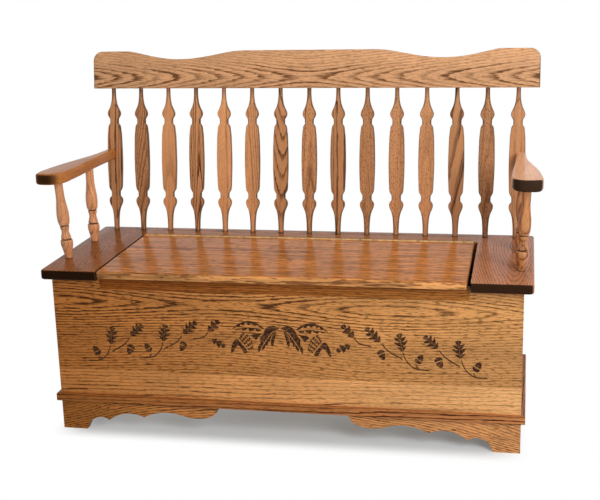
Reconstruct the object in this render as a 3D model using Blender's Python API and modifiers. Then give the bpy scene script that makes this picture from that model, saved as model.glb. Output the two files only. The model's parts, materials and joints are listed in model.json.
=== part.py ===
"""Oak storage bench: a chest with a hinged lid as its seat, a spindle back and two arms.

Metres, +Z up. The origin lies on the floor under the middle of the bench's outline.
The bench faces -Y, and +X is to the right as seen from the front.
"""

from math import copysign, cos, pi, radians, sin, sqrt, tan

import bmesh
import bpy
from mathutils import Matrix, Vector

# Clearances
FIT = 0.0003                 # between two faces that are glued, screwed or resting on each other
TOUCH = 0.00001              # how near a vertex lies to a plane to count as on it
FLAT_ANGLE = radians(0.1)    # below which two faces count as one flat

# Seat
SEAT_WIDTH = 1.219
SEAT_DEPTH = 0.4702
SEAT_HEIGHT = 0.4334
BOARD_THICK = 0.025
END_BOARD_WIDTH = 0.146
BACK_STRIP_DEPTH = 0.0911
BOARD_CORNER = 0.012
BOARD_ROUNDING = 0.005
LID_THICK = 0.0195
LID_CORNER = 0.006
LID_ROUNDING = 0.005
LID_BACK_ARRIS = 0.0013      # keeps the lid's flat top clear of the hinge knuckles
LID_GAP_LEFT = 0.0025
LID_GAP_RIGHT = 0.008

# Chest under the seat
WALL = 0.019
FRONT_OVERHANG = 0.021
SIDE_OVERHANG = 0.0229
BACK_OVERHANG = 0.0187
TOP_STRIP_HEIGHT = 0.031
TOP_STRIP_INSET = 0.003      # of its ends from the end boards' inner edges
FLOOR_THICK = 0.012
CLEAT_WIDE = 0.019
CLEAT_TALL = 0.030
HINGE_RAIL_WIDE = 0.019
HINGE_RAIL_TALL = 0.040

# Base
MOULDING_LOW = 0.0792
MOULDING_TALL = 0.0205
MOULDING_PROUD = 0.0096
MOULDING_ARRIS = 0.0015
BLOCK_SIDE = 0.032
BLOCK_LIFT = 0.004

# Scroll of each skirt's lower edge, from the foot inwards: distance of a point from the chest's
# corner, its height, and how far the arc that leads to it rises over its chord
FRONT_SCROLL = (
    (0.0645, 0.0, 0.0),
    (0.0755, 0.0230, 0.0),
    (0.0845, 0.0282, 0.0010),
    (0.1265, 0.0275, 0.0070),
    (0.2215, 0.0405, 0.0138),
    (0.3245, 0.0505, 0.0105),
    (0.3815, 0.0462, -0.0035),
    (0.4145, 0.0625, -0.0030),
    (0.4235, MOULDING_LOW, 0.0010),
)
SIDE_SCROLL = (
    (0.0645, 0.0, 0.0),
    (0.0755, 0.0230, 0.0),
    (0.0845, 0.0282, 0.0010),
    (0.1265, 0.0300, 0.0070),
    (0.1700, MOULDING_LOW, -0.0090),
)
BACK_SCROLL = (
    (0.0645, 0.0, 0.0),
    (0.0755, 0.0230, 0.0),
    (0.1265, 0.0600, -0.0080),
)

# Lid hinge, a continuous strip hinge along the lid's back edge
LEAF_THICK = 0.001
LEAF_TALL = 0.0165
LEAF_PLAY = 0.0004
KNUCKLE_RADIUS = 0.0023
PIN_RADIUS = 0.0008
KNUCKLES = 12
KNUCKLE_PLAY = 0.0006
HINGE_END_SPACE = 0.004
LEAF_SCREWS = 3
SCREW_HEAD_RADIUS = 0.0030
SCREW_HEAD_TALL = 0.0016
SCREW_SHANK_RADIUS = 0.0015
SCREW_LENGTH = 0.0140
HEAD_SUNK = 0.00015           # of a screw head under the face that it lies in
HOLE_MOUTH = 0.003            # that a screw hole's cutter stands out of its hole

# Lid battens
BATTEN_WIDE = 0.045
BATTEN_THICK = 0.0185
BATTEN_END_SPACE = 0.040
BATTEN_INSET = 0.148         # of each batten's middle from the lid's end

# Back
RECLINE = radians(7.15)
SPINDLES = 15
SPINDLE_LINE = 0.0371        # of the spindle feet from the seat's back edge
SPINDLE_END_SPACE = 0.0495   # of the outermost spindles from the seat's ends
SPINDLE_LENGTH = 0.399       # between the seat and the rail
SPINDLE_THICK = 0.016        # between the two flats
SPINDLE_SEAT_TENON = 0.016
SPINDLE_RAIL_TENON = 0.018
SPINDLE_FOOT = (             # height over the seat, radius
    (0.0, 0.0073),
    (0.042, 0.0089),
    (0.058, 0.0113),
    (0.066, 0.0138),
    (0.077, 0.0188),
    (0.085, 0.0195),
    (0.091, 0.0180),
    (0.097, 0.0128),
    (0.109, 0.0128),
    (0.1175, 0.0178),
    (0.1275, 0.0196),
)
SPINDLE_HEAD = (             # depth below the rail, radius
    (0.118, 0.0188),
    (0.105, 0.0173),
    (0.097, 0.0124),
    (0.085, 0.0124),
    (0.076, 0.0172),
    (0.070, 0.0188),
    (0.0635, 0.0175),
    (0.0515, 0.0120),
    (0.039, 0.0080),
    (0.018, 0.0060),
    (0.0, 0.0057),
)
SPINDLE_SWELL = 0.0025
SPINDLE_SWELL_STEPS = 4
RAIL_HEIGHT = 0.1033
RAIL_THICK = 0.024
RAIL_END_SPACE = 0.0546      # of the rail's ends from the outermost spindles
RAIL_CORNER = 0.027
RAIL_ROUNDING = 0.003
SCOOP_DEPTH = 0.0225
SCOOP_INNER = 0.182          # of each scoop, from its middle towards the rail's middle
SCOOP_OUTER = 0.148          # and towards the rail's end, with a tighter shoulder
SCOOP_END_SPACE = 0.2518     # of each scoop's middle from the rail's end
SCOOP_STEPS = 12
CORNER_STEPS = 3

# Arms
ARM_TILT = radians(1.15)
ARM_HEIGHT = 0.2331          # of the arm's top over the seat, at the middle of its depth
ARM_THICK = 0.028
ARM_SETBACK = 0.0381         # of the arm's front end from the seat's front edge
ARM_ROUNDING = 0.006
ARM_CURVE_STEPS = 3
ARM_SMOOTH = (               # offset outwards from the outermost spindle, distance from the front end
    (-0.0030, 0.320),
    (-0.0050, 0.215),
    (-0.0090, 0.095),
    (-0.0030, 0.022),
    (0.0120, 0.0040),
    (0.0370, 0.0),
    (0.0560, 0.0060),
    (0.0635, 0.028),
    (0.0620, 0.090),
    (0.0540, 0.165),
    (0.0400, 0.245),
    (0.0280, 0.320),
)
ARM_BACK_INNER = -0.0030
ARM_BACK_OUTER = 0.0225
POST_SEAT_TENON = 0.016
POST_ARM_TENON = 0.012
FRONT_POST_FOOT = (0.0180, 0.1191)    # outwards from the spindle, back from the seat's front edge
FRONT_POST_HEAD = (0.0275, 0.1080)
REAR_POST_FOOT = (0.0140, 0.2931)
REAR_POST_HEAD = (0.0170, 0.2981)
POST_PROFILE = (             # height over the seat, radius
    (0.0, 0.0094),
    (0.018, 0.0117),
    (0.030, 0.0142),
    (0.039, 0.0159),
    (0.048, 0.0156),
    (0.0505, 0.0146),
    (0.0525, 0.0112),
    (0.0550, 0.0132),
    (0.068, 0.0103),
    (0.076, 0.0097),
    (0.084, 0.0119),
    (0.087, 0.0119),
    (0.089, 0.0106),
    (0.0915, 0.0130),
    (0.100, 0.0152),
    (0.115, 0.0159),
    (0.130, 0.0152),
    (0.144, 0.0133),
    (0.158, 0.0116),
    (0.172, 0.0109),
)
ARM_SCREW_OFFSET = 0.006     # outwards from the outermost spindle's axis
ARM_SCREW_HEAD_RADIUS = 0.0042
ARM_SCREW_HEAD_TALL = 0.0030
ARM_SCREW_SHANK_RADIUS = 0.0020
ARM_SCREW_LENGTH = 0.038

# Facets of round pieces
TURNED_SIDES = 10
SMALL_SIDES = 8
ROUND_SEGMENTS = 2
ARC_STEPS = 5
SHARP_ANGLE = radians(35)    # above which an edge between two faces shows
RIM_ANGLE = radians(50)      # above which an edge counts as a rim to be rounded

# Colours, roughness and metallic value of each finish
PANEL_OAK = ((0.42, 0.17, 0.05), 0.35, 0.0)
BASE_OAK = ((0.22, 0.08, 0.02), 0.35, 0.0)
SEAT_OAK = ((0.40, 0.17, 0.07), 0.18, 0.0)
BACK_OAK = ((0.43, 0.19, 0.08), 0.30, 0.0)
INNER_OAK = ((0.62, 0.42, 0.22), 0.60, 0.0)
BRASS = ((0.80, 0.58, 0.25), 0.30, 1.0)
STEEL = ((0.55, 0.53, 0.50), 0.35, 1.0)

# The seat frame: its origin lies on the floor under the middle of the seat
seat_half = SEAT_WIDTH / 2
seat_front = -SEAT_DEPTH / 2
seat_back = SEAT_DEPTH / 2
seat_under = SEAT_HEIGHT - BOARD_THICK
opening_half = seat_half - END_BOARD_WIDTH
strip_front = seat_back - BACK_STRIP_DEPTH
chest_half = seat_half - SIDE_OVERHANG
chest_front = seat_front + FRONT_OVERHANG
chest_back = seat_back - BACK_OVERHANG
spindle_y = seat_back - SPINDLE_LINE
spindle_half_span = seat_half - SPINDLE_END_SPACE
hinge_y = strip_front - FIT - LEAF_THICK - LEAF_PLAY / 2
hinge_z = SEAT_HEIGHT + FIT + KNUCKLE_RADIUS
lid_back = hinge_y - LEAF_PLAY / 2 - LEAF_THICK - FIT
lid_left = -opening_half + LID_GAP_LEFT
lid_right = opening_half - LID_GAP_RIGHT
lid_under = SEAT_HEIGHT - LID_THICK
top_strip_low = lid_under - FIT - TOP_STRIP_HEIGHT
skirt_joint = MOULDING_LOW + MOULDING_TALL / 2

# How far the rail's rounded top leans out behind the seat, which places the origin
rail_top = SPINDLE_LENGTH + RAIL_HEIGHT - RAIL_ROUNDING
rail_reach = spindle_y + rail_top * sin(RECLINE) + RAIL_THICK / 2 * cos(RECLINE)
frame_shift = -(rail_reach + seat_front) / 2


def clear_scene():
    for obj in list(bpy.data.objects):
        bpy.data.objects.remove(obj, do_unlink=True)


def new_collection(name):
    collection = bpy.data.collections.new(name)
    bpy.context.scene.collection.children.link(collection)
    return collection


def new_frame(name, location, parent=None, rotation=(0.0, 0.0, 0.0)):
    """An empty that carries other objects."""
    frame = bpy.data.objects.new(name, None)
    frame.location = location
    frame.rotation_euler = rotation
    frame.parent = parent
    parts.objects.link(frame)
    return frame


def paint(obj, finish):
    """Gives the object a material of its own, also where it shares its mesh."""
    colour, roughness, metallic = finish
    material = bpy.data.materials.new(obj.name + "_finish")
    material.use_nodes = True
    shader = material.node_tree.nodes["Principled BSDF"]
    shader.inputs["Base Color"].default_value = (*colour, 1.0)
    shader.inputs["Roughness"].default_value = roughness
    shader.inputs["Metallic"].default_value = metallic
    if not obj.data.materials:
        obj.data.materials.append(None)
    obj.material_slots[0].link = "OBJECT"
    obj.material_slots[0].material = material


def place(name, mesh, finish, parent):
    obj = bpy.data.objects.new(name, mesh)
    obj.parent = parent
    parts.objects.link(obj)
    paint(obj, finish)
    return obj


def place_cutter(name, mesh, parent):
    obj = bpy.data.objects.new(name, mesh)
    obj.parent = parent
    obj.hide_render = True
    obj.display_type = "WIRE"
    cutters.objects.link(obj)
    return obj


def to_mesh(bm, name):
    mesh = bpy.data.meshes.new(name)
    bm.to_mesh(mesh)
    bm.free()
    return mesh


def add_box(bm, low, high, origin=(0.0, 0.0, 0.0)):
    """Adds a box between two corners, measured from the origin."""
    low = Vector(low) - Vector(origin)
    high = Vector(high) - Vector(origin)
    made = bmesh.ops.create_cube(bm, size=1.0)
    bmesh.ops.scale(bm, vec=high - low, verts=made["verts"])
    bmesh.ops.translate(bm, vec=(low + high) / 2, verts=made["verts"])


def box_mesh(name, *boxes, origin=(0.0, 0.0, 0.0)):
    bm = bmesh.new()
    for low, high in boxes:
        add_box(bm, low, high, origin)
    return to_mesh(bm, name)


def box(name, low, high, finish, parent, origin=(0.0, 0.0, 0.0)):
    return place(name, box_mesh(name, (low, high), origin=origin), finish, parent)


def round_edges(bm, edges, radius, segments=ROUND_SEGMENTS):
    bmesh.ops.bevel(bm, geom=edges, offset=radius, segments=segments, profile=0.5,
                    affect="EDGES", clamp_overlap=True, material=-1)


def rounded_board(name, low, high, square_sides, corner, rounding, finish, parent,
                  origin=(0.0, 0.0, 0.0)):
    """A flat board with rounded corners and rims, except along its square sides."""
    bm = bmesh.new()
    add_box(bm, low, high, origin)
    side_planes = {
        "-x": (0, low[0] - origin[0]), "+x": (0, high[0] - origin[0]),
        "-y": (1, low[1] - origin[1]), "+y": (1, high[1] - origin[1]),
    }
    planes = [side_planes[side] for side in square_sides]

    def is_free(edge):
        return not any(all(abs(v.co[axis] - at) < TOUCH for v in edge.verts)
                       for axis, at in planes)

    def is_level(edge):
        return abs(edge.verts[0].co.z - edge.verts[1].co.z) < TOUCH

    uprights = [edge for edge in bm.edges if is_free(edge) and not is_level(edge)]
    if uprights:
        round_edges(bm, uprights, corner)
    round_edges(bm, [edge for edge in bm.edges if is_free(edge) and is_level(edge)], rounding)
    return place(name, to_mesh(bm, name), finish, parent)


def trim(bm, point, normal):
    """Takes away what lies beyond the plane and closes the cut."""
    made = bmesh.ops.bisect_plane(bm, geom=bm.verts[:] + bm.edges[:] + bm.faces[:],
                                  plane_co=point, plane_no=normal, clear_outer=True)
    rim = [part for part in made["geom_cut"] if isinstance(part, bmesh.types.BMEdge)]
    bmesh.ops.contextual_create(bm, geom=rim)


def cut(obj, cutter, operation="DIFFERENCE"):
    boolean = obj.modifiers.new(cutter.name, "BOOLEAN")
    boolean.operation = operation
    boolean.object = cutter


def turned_mesh(name, stations, sides):
    """A turned body about Z from (height, radius) stations that run from bottom to top."""
    heights = [height for height, _ in stations]
    profile = [(0.0, heights[-1]), *((radius, height) for height, radius in reversed(stations)),
               (0.0, heights[0])]
    mesh = bpy.data.meshes.new(name)
    mesh.from_pydata([(x, 0.0, z) for x, z in profile],
                     [(i, i + 1) for i in range(len(profile) - 1)], [])
    blank = bpy.data.objects.new(name + "_blank", mesh)
    cutters.objects.link(blank)
    screw = blank.modifiers.new("turn", "SCREW")
    screw.steps = sides
    screw.render_steps = sides
    screw.use_merge_vertices = True
    screw.merge_threshold = TOUCH
    return bake(blank, name)


def bake(obj, name):
    """The object's evaluated mesh, welded, after which the object is removed."""
    graph = bpy.context.evaluated_depsgraph_get()
    mesh = bpy.data.meshes.new_from_object(obj.evaluated_get(graph))
    mesh.name = name
    bpy.data.objects.remove(obj, do_unlink=True)
    bm = bmesh.new()
    bm.from_mesh(mesh)
    bmesh.ops.remove_doubles(bm, verts=bm.verts, dist=TOUCH)
    bmesh.ops.dissolve_limit(bm, angle_limit=FLAT_ANGLE, verts=bm.verts, edges=bm.edges)
    bmesh.ops.recalc_face_normals(bm, faces=bm.faces)
    bm.to_mesh(mesh)
    bm.free()
    mesh.shade_smooth()
    mesh.set_sharp_from_angle(angle=SHARP_ANGLE)
    return mesh


def flat_mesh(name, spline_points, thick, handles=None, steps=1):
    """A flat piece in XY between z = -thick/2 and thick/2, filled inside one closed outline.

    Without handles the outline is a polygon. Otherwise it is a Bezier curve, and handles
    holds a handle type for each point.
    """
    curve = bpy.data.curves.new(name, "CURVE")
    curve.dimensions = "2D"
    curve.fill_mode = "BOTH"
    curve.extrude = thick / 2
    curve.resolution_u = steps
    if handles is None:
        spline = curve.splines.new("POLY")
        spline.points.add(len(spline_points) - 1)
        for point, (x, y) in zip(spline.points, spline_points):
            point.co = (x, y, 0.0, 1.0)
    else:
        spline = curve.splines.new("BEZIER")
        spline.bezier_points.add(len(spline_points) - 1)
        for point, (x, y), handle in zip(spline.bezier_points, spline_points, handles):
            point.co = (x, y, 0.0)
            point.handle_left_type = handle
            point.handle_right_type = handle
    spline.use_cyclic_u = True
    outline = bpy.data.objects.new(name + "_outline", curve)
    cutters.objects.link(outline)
    return bake(outline, name)


def add_rounding(obj, radius):
    bevel = obj.modifiers.new("rounding", "BEVEL")
    bevel.width = radius
    bevel.segments = ROUND_SEGMENTS
    bevel.limit_method = "ANGLE"
    bevel.angle_limit = RIM_ANGLE


def arc_points(start, end, rise):
    """Points after start up to end, on an arc whose middle stands rise above its chord.

    The arc runs towards lower x.
    """
    start, end = Vector(start), Vector(end)
    if rise == 0.0:
        return [tuple(end)]
    along = end - start
    upwards = Vector((along.y, -along.x)).normalized()
    half = along.length / 2
    radius = (half ** 2 + rise ** 2) / (2 * abs(rise))
    points = []
    for step in range(1, ARC_STEPS + 1):
        share = step / ARC_STEPS
        across = (2 * share - 1) * half
        height = sqrt(radius ** 2 - across ** 2) - (radius - abs(rise))
        points.append(tuple(start + along * share + upwards * copysign(height, rise)))
    return points


def build_seat():
    for side, sign in (("left", -1), ("right", 1)):
        xs = sorted((sign * opening_half, sign * seat_half))
        rounded_board(side + "_seat_board", (xs[0], seat_front, seat_under),
                      (xs[1], seat_back, SEAT_HEIGHT), ("+x",) if sign < 0 else ("-x",),
                      BOARD_CORNER, BOARD_ROUNDING, SEAT_OAK, bench)
    rounded_board("seat_back_strip", (-opening_half + FIT, strip_front, seat_under),
                  (opening_half - FIT, seat_back, SEAT_HEIGHT), ("-x", "+x", "-y"),
                  BOARD_CORNER, BOARD_ROUNDING, SEAT_OAK, bench)


def build_lid():
    lid = rounded_board("lid", (lid_left, seat_front, lid_under),
                        (lid_right, lid_back, SEAT_HEIGHT), ("+y",), LID_CORNER, LID_ROUNDING,
                        SEAT_OAK, lid_hinge, hinge_axis)
    bm = bmesh.new()
    bm.from_mesh(lid.data)
    arris = Vector((0.0, lid_back - LID_BACK_ARRIS, SEAT_HEIGHT)) - hinge_axis
    trim(bm, arris, (0, 1, 1))
    bm.to_mesh(lid.data)
    bm.free()

    front = chest_front + WALL + BATTEN_END_SPACE
    back = lid_back - BATTEN_END_SPACE
    for side, x in (("left", lid_left + BATTEN_INSET), ("right", lid_right - BATTEN_INSET)):
        box(side + "_lid_batten", (x - BATTEN_WIDE / 2, front, lid_under - FIT - BATTEN_THICK),
            (x + BATTEN_WIDE / 2, back, lid_under - FIT), INNER_OAK, lid_hinge, hinge_axis)


def build_chest():
    panel_top = seat_under - FIT
    inner_half = chest_half - WALL
    inner_front = chest_front + WALL
    inner_back = chest_back - WALL

    notch_half = opening_half - TOP_STRIP_INSET
    front = box("front_panel", (-chest_half, chest_front, skirt_joint),
                (chest_half, inner_front, panel_top), PANEL_OAK, bench)
    notch = box_mesh("top_strip_notch", ((-notch_half, chest_front - WALL, top_strip_low),
                                         (notch_half, inner_front + WALL, SEAT_HEIGHT)))
    cut(front, place_cutter("top_strip_notch", notch, bench))
    box("front_top_strip", (-notch_half + FIT, chest_front, top_strip_low + FIT),
        (notch_half - FIT, inner_front, lid_under - FIT), PANEL_OAK, bench)

    box("back_panel", (-chest_half, inner_back, skirt_joint),
        (chest_half, chest_back, panel_top), PANEL_OAK, bench)
    for side, sign in (("left", -1), ("right", 1)):
        xs = sorted((sign * inner_half, sign * chest_half))
        box(side + "_side_panel", (xs[0], inner_front + FIT, skirt_joint),
            (xs[1], inner_back - FIT, panel_top), PANEL_OAK, bench)

    room = inner_half - FIT
    front_y = inner_front + FIT
    back_y = inner_back - FIT
    cleat_low = MOULDING_LOW + FIT
    cleat_top = cleat_low + CLEAT_TALL
    for name, low_y, high_y in (("front_cleat", front_y, front_y + CLEAT_WIDE),
                                ("back_cleat", back_y - CLEAT_WIDE, back_y)):
        box(name, (-room, low_y, cleat_low), (room, high_y, cleat_top), INNER_OAK, bench)
    floor_low = cleat_top + FIT
    box("bottom_panel", (-room, front_y, floor_low), (room, back_y, floor_low + FLOOR_THICK),
        INNER_OAK, bench)
    box("hinge_rail", (-room, strip_front, panel_top - HINGE_RAIL_TALL),
        (room, strip_front + HINGE_RAIL_WIDE, panel_top), INNER_OAK, bench)


def scroll_outline(half, scroll):
    """Outline of a skirt board in (distance along it, height), symmetric about its middle."""
    top = skirt_joint - FIT
    inward, height, _ = scroll[0]
    lower = [(half, 0.0), (half - inward, height)]
    for inward, height, rise in scroll[1:]:
        lower.extend(arc_points(lower[-1], (half - inward, height), rise))
    right = [(half, top), *lower]
    return right + [(-x, z) for x, z in reversed(right)]


def build_skirts():
    depth = chest_back - chest_front
    middle = (chest_front + chest_back) / 2
    front = flat_mesh("front_skirt", scroll_outline(chest_half, FRONT_SCROLL), WALL)
    skirt = place("front_skirt", front, BASE_OAK, bench)
    skirt.location = (0.0, chest_front + WALL / 2, 0.0)
    skirt.rotation_euler = (pi / 2, 0.0, 0.0)

    back = flat_mesh("back_skirt", scroll_outline(chest_half, BACK_SCROLL), WALL)
    skirt = place("back_skirt", back, BASE_OAK, bench)
    skirt.location = (0.0, chest_back - WALL / 2, 0.0)
    skirt.rotation_euler = (pi / 2, 0.0, 0.0)

    room = WALL + FIT
    reach = [(inward - room, height, rise) for inward, height, rise in SIDE_SCROLL]
    side_mesh = flat_mesh("side_skirt", scroll_outline(depth / 2 - room, reach), WALL)
    for side, sign in (("left", -1), ("right", 1)):
        skirt = place(side + "_skirt", side_mesh, BASE_OAK, bench)
        skirt.location = (sign * (chest_half - WALL / 2), middle, 0.0)
        skirt.rotation_euler = (pi / 2, 0.0, pi / 2)

    for side, sign in (("left", -1), ("right", 1)):
        xs = sorted((sign * (chest_half - room), sign * (chest_half - room - BLOCK_SIDE)))
        for end, corner, turn in (("front", chest_front, 1), ("back", chest_back, -1)):
            ys = sorted((corner + turn * room, corner + turn * (room + BLOCK_SIDE)))
            box("%s_%s_corner_block" % (end, side), (xs[0], ys[0], BLOCK_LIFT),
                (xs[1], ys[1], MOULDING_LOW), INNER_OAK, bench)


def moulding(name, low, high, outer_side, mitres):
    """A strip with an arris on its outer top edge, cut at mitre planes of a point and normal."""
    bm = bmesh.new()
    add_box(bm, low, high)
    axis, at = outer_side
    rims = [edge for edge in bm.edges
            if all(abs(v.co.z - high[2]) < TOUCH and abs(v.co[axis] - at) < TOUCH
                   for v in edge.verts)]
    round_edges(bm, rims, MOULDING_ARRIS, 1)
    for point, normal in mitres:
        trim(bm, point, normal)
    return place(name, to_mesh(bm, name), BASE_OAK, bench)


def build_mouldings():
    low = MOULDING_LOW
    high = MOULDING_LOW + MOULDING_TALL
    inner_y = chest_front - FIT
    outer_y = inner_y - MOULDING_PROUD
    inner_x = chest_half + FIT
    outer_x = inner_x + MOULDING_PROUD
    half_gap = FIT / sqrt(2)
    mitres = [((sign * inner_x, inner_y - half_gap, low), (sign, 1, 0)) for sign in (-1, 1)]
    moulding("front_moulding", (-outer_x, outer_y, low), (outer_x, inner_y, high),
             (1, outer_y), mitres)
    for side, sign in (("left", -1), ("right", 1)):
        xs = sorted((sign * inner_x, sign * outer_x))
        mitre = ((sign * inner_x, inner_y + half_gap, low), (-sign, -1, 0))
        moulding(side + "_moulding", (xs[0], outer_y, low), (xs[1], chest_back, high),
                 (0, sign * outer_x), (mitre,))


def add_rod(bm, x_low, x_high, radius):
    """Adds a round rod along the X axis."""
    middle = Matrix.Translation(((x_low + x_high) / 2, 0.0, 0.0))
    bmesh.ops.create_cone(bm, cap_ends=True, segments=SMALL_SIDES, radius1=radius,
                          radius2=radius, depth=x_high - x_low,
                          matrix=middle @ Matrix.Rotation(pi / 2, 4, "Y"))


def screw_stations(head_radius, head_tall, shank_radius, length, spare=0.0):
    """A countersunk screw that points down from z = 0; spare widens it into its hole."""
    tip = shank_radius + spare
    return (
        (-length - spare, tip * 0.4),
        (-length + shank_radius - spare, tip),
        (-head_tall, tip),
        (0.0, head_radius + spare),
    )


def stamp(name, mesh, places, parent):
    """One cutter made of a copy of the mesh at each (x, y) place."""
    bm = bmesh.new()
    for x, y in places:
        start = len(bm.verts)
        bm.from_mesh(mesh)
        bm.verts.ensure_lookup_table()
        bmesh.ops.translate(bm, vec=(x, y, 0.0), verts=bm.verts[start:])
    return place_cutter(name, to_mesh(bm, name), parent)


def add_screws(names, xs, shape, finish, parent, location, turn):
    """Screws in a row along X, each pointing down its own Z, and the cutter of their holes."""
    mesh = turned_mesh("screw", screw_stations(*shape), SMALL_SIDES)
    for name, x in zip(names, xs):
        screw = place(name, mesh, finish, parent)
        screw.location = location + Vector((x, 0.0, 0.0))
        screw.rotation_euler = turn
    head_radius = shape[0]
    hole = [*screw_stations(*shape, spare=FIT), (HOLE_MOUTH, head_radius + FIT)]
    holes = stamp(names[0] + "_holes", turned_mesh("screw_hole", hole, SMALL_SIDES),
                  [(x, 0.0) for x in xs], parent)
    holes.location = location
    holes.rotation_euler = turn
    return holes


def leaf_screws(label, sign, xs, leaf, wood, parent):
    """Screws from between the leaves through one leaf into the wood beyond it."""
    shape = (SCREW_HEAD_RADIUS, SCREW_HEAD_TALL, SCREW_SHANK_RADIUS, SCREW_LENGTH)
    names = ["%s_%d" % (label, number) for number in range(1, len(xs) + 1)]
    middle = SEAT_HEIGHT - LEAF_TALL / 2 - hinge_z
    location = Vector((0.0, sign * (LEAF_PLAY / 2 + HEAD_SUNK), middle))
    holes = add_screws(names, xs, shape, BRASS, parent, location, (sign * pi / 2, 0.0, 0.0))
    cut(leaf, holes)
    cut(wood, holes)


def hinge_leaf(name, sign, own_turn, half, parent):
    """A leaf on one side of the pin, with every second knuckle."""
    pitch = 2 * half / KNUCKLES
    inner = sign * LEAF_PLAY / 2
    outer = sign * (LEAF_PLAY / 2 + LEAF_THICK)
    ys = sorted((inner, outer))
    top = -(KNUCKLE_RADIUS + PIN_RADIUS) / 2
    under = SEAT_HEIGHT - hinge_z
    leaf = box(name, (-half, ys[0], under - LEAF_TALL), (half, ys[1], top), BRASS, parent)

    reliefs = []
    knuckles = bmesh.new()
    for turn in range(KNUCKLES):
        start = -half + turn * pitch
        if turn % 2 == own_turn:
            add_rod(knuckles, start + KNUCKLE_PLAY / 2, start + pitch - KNUCKLE_PLAY / 2,
                    KNUCKLE_RADIUS)
        else:
            spare_low = KNUCKLE_PLAY / 2 if turn > 0 else KNUCKLE_RADIUS
            spare_high = KNUCKLE_PLAY / 2 if turn < KNUCKLES - 1 else KNUCKLE_RADIUS
            reliefs.append(((start - spare_low, -KNUCKLE_RADIUS, under),
                            (start + pitch + spare_high, KNUCKLE_RADIUS, KNUCKLE_RADIUS)))
    relief = place_cutter(name + "_relief", box_mesh(name + "_relief", *reliefs), parent)
    cut(leaf, relief)
    cut(leaf, place_cutter(name + "_knuckles", to_mesh(knuckles, name + "_knuckles"), parent),
        "UNION")
    bore = bmesh.new()
    add_rod(bore, -half - KNUCKLE_RADIUS, half + KNUCKLE_RADIUS, PIN_RADIUS + FIT)
    cut(leaf, place_cutter(name + "_bore", to_mesh(bore, name + "_bore"), parent))
    return leaf


def build_hinge():
    half = (lid_right - lid_left) / 2 - HINGE_END_SPACE
    fixed = hinge_leaf("hinge_fixed_leaf", 1, 0, half, hinge_line)
    moving = hinge_leaf("hinge_lid_leaf", -1, 1, half, lid_hinge)
    pin = bmesh.new()
    add_rod(pin, -half, half, PIN_RADIUS)
    place("hinge_pin", to_mesh(pin, "hinge_pin"), STEEL, hinge_line)

    pitch = 2 * half / LEAF_SCREWS
    xs = [-half + (turn + 0.5) * pitch for turn in range(LEAF_SCREWS)]
    leaf_screws("fixed_leaf_screw", 1, xs, fixed, bpy.data.objects["seat_back_strip"], hinge_line)
    leaf_screws("lid_leaf_screw", -1, xs, moving, bpy.data.objects["lid"], lid_hinge)


def spindle_stations():
    """Heights over the seat and radii, tenons included."""
    foot_top, foot_radius = SPINDLE_FOOT[-1]
    head = [(SPINDLE_LENGTH - depth, radius) for depth, radius in SPINDLE_HEAD]
    head_low, head_radius = head[0]
    swell = []
    for step in range(1, SPINDLE_SWELL_STEPS):
        share = step / SPINDLE_SWELL_STEPS
        radius = foot_radius + (head_radius - foot_radius) * share
        swell.append((foot_top + (head_low - foot_top) * share,
                      radius + SPINDLE_SWELL * sin(pi * share)))
    tenon_low = (-SPINDLE_SEAT_TENON, SPINDLE_FOOT[0][1])
    tenon_high = (SPINDLE_LENGTH + SPINDLE_RAIL_TENON, SPINDLE_HEAD[-1][1])
    return [tenon_low, *SPINDLE_FOOT, *swell, *head, tenon_high]


def spindle_mesh():
    """A turned spindle with a flat along its front and its back."""
    stations = spindle_stations()
    blank = bpy.data.objects.new("spindle_blank", turned_mesh("spindle", stations, TURNED_SIDES))
    cutters.objects.link(blank)
    reach = max(radius for _, radius in stations) * 2
    low = stations[0][0] - reach
    high = stations[-1][0] + reach
    slab = place_cutter("spindle_slab", box_mesh("spindle_slab", (
        (-reach, -SPINDLE_THICK / 2, low), (reach, SPINDLE_THICK / 2, high))), None)
    cut(blank, slab, "INTERSECT")
    mesh = bake(blank, "spindle")
    bpy.data.objects.remove(slab, do_unlink=True)
    return mesh


def sockets(name, places, low, high, tenon_radius, parent):
    """The cutter of a round socket at each (x, y), between two heights of its frame."""
    radius = tenon_radius + FIT
    mesh = turned_mesh(name, ((low, radius), (high, radius)), TURNED_SIDES)
    return stamp(name, mesh, places, parent)


def rail_outline():
    """The rail's front face in (x, height): level, then a scoop and a rounded corner each side."""
    half = spindle_half_span + RAIL_END_SPACE
    scoop_x = half - SCOOP_END_SPACE
    right = []
    for step in range(SCOOP_STEPS + 1):
        share = 2 * step / SCOOP_STEPS - 1
        reach, power = (SCOOP_INNER, 2) if share < 0 else (SCOOP_OUTER, 1.3)
        right.append((scoop_x + share * reach,
                      RAIL_HEIGHT - SCOOP_DEPTH * (1 - share ** 2) ** power))
    for step in range(CORNER_STEPS + 1):
        turn = pi / 2 * (1 - step / CORNER_STEPS)
        right.append((half - RAIL_CORNER * (1 - cos(turn)),
                      RAIL_HEIGHT - RAIL_CORNER * (1 - sin(turn))))
    right.append((half, FIT))
    return right + [(-x, z) for x, z in reversed(right)]


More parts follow.
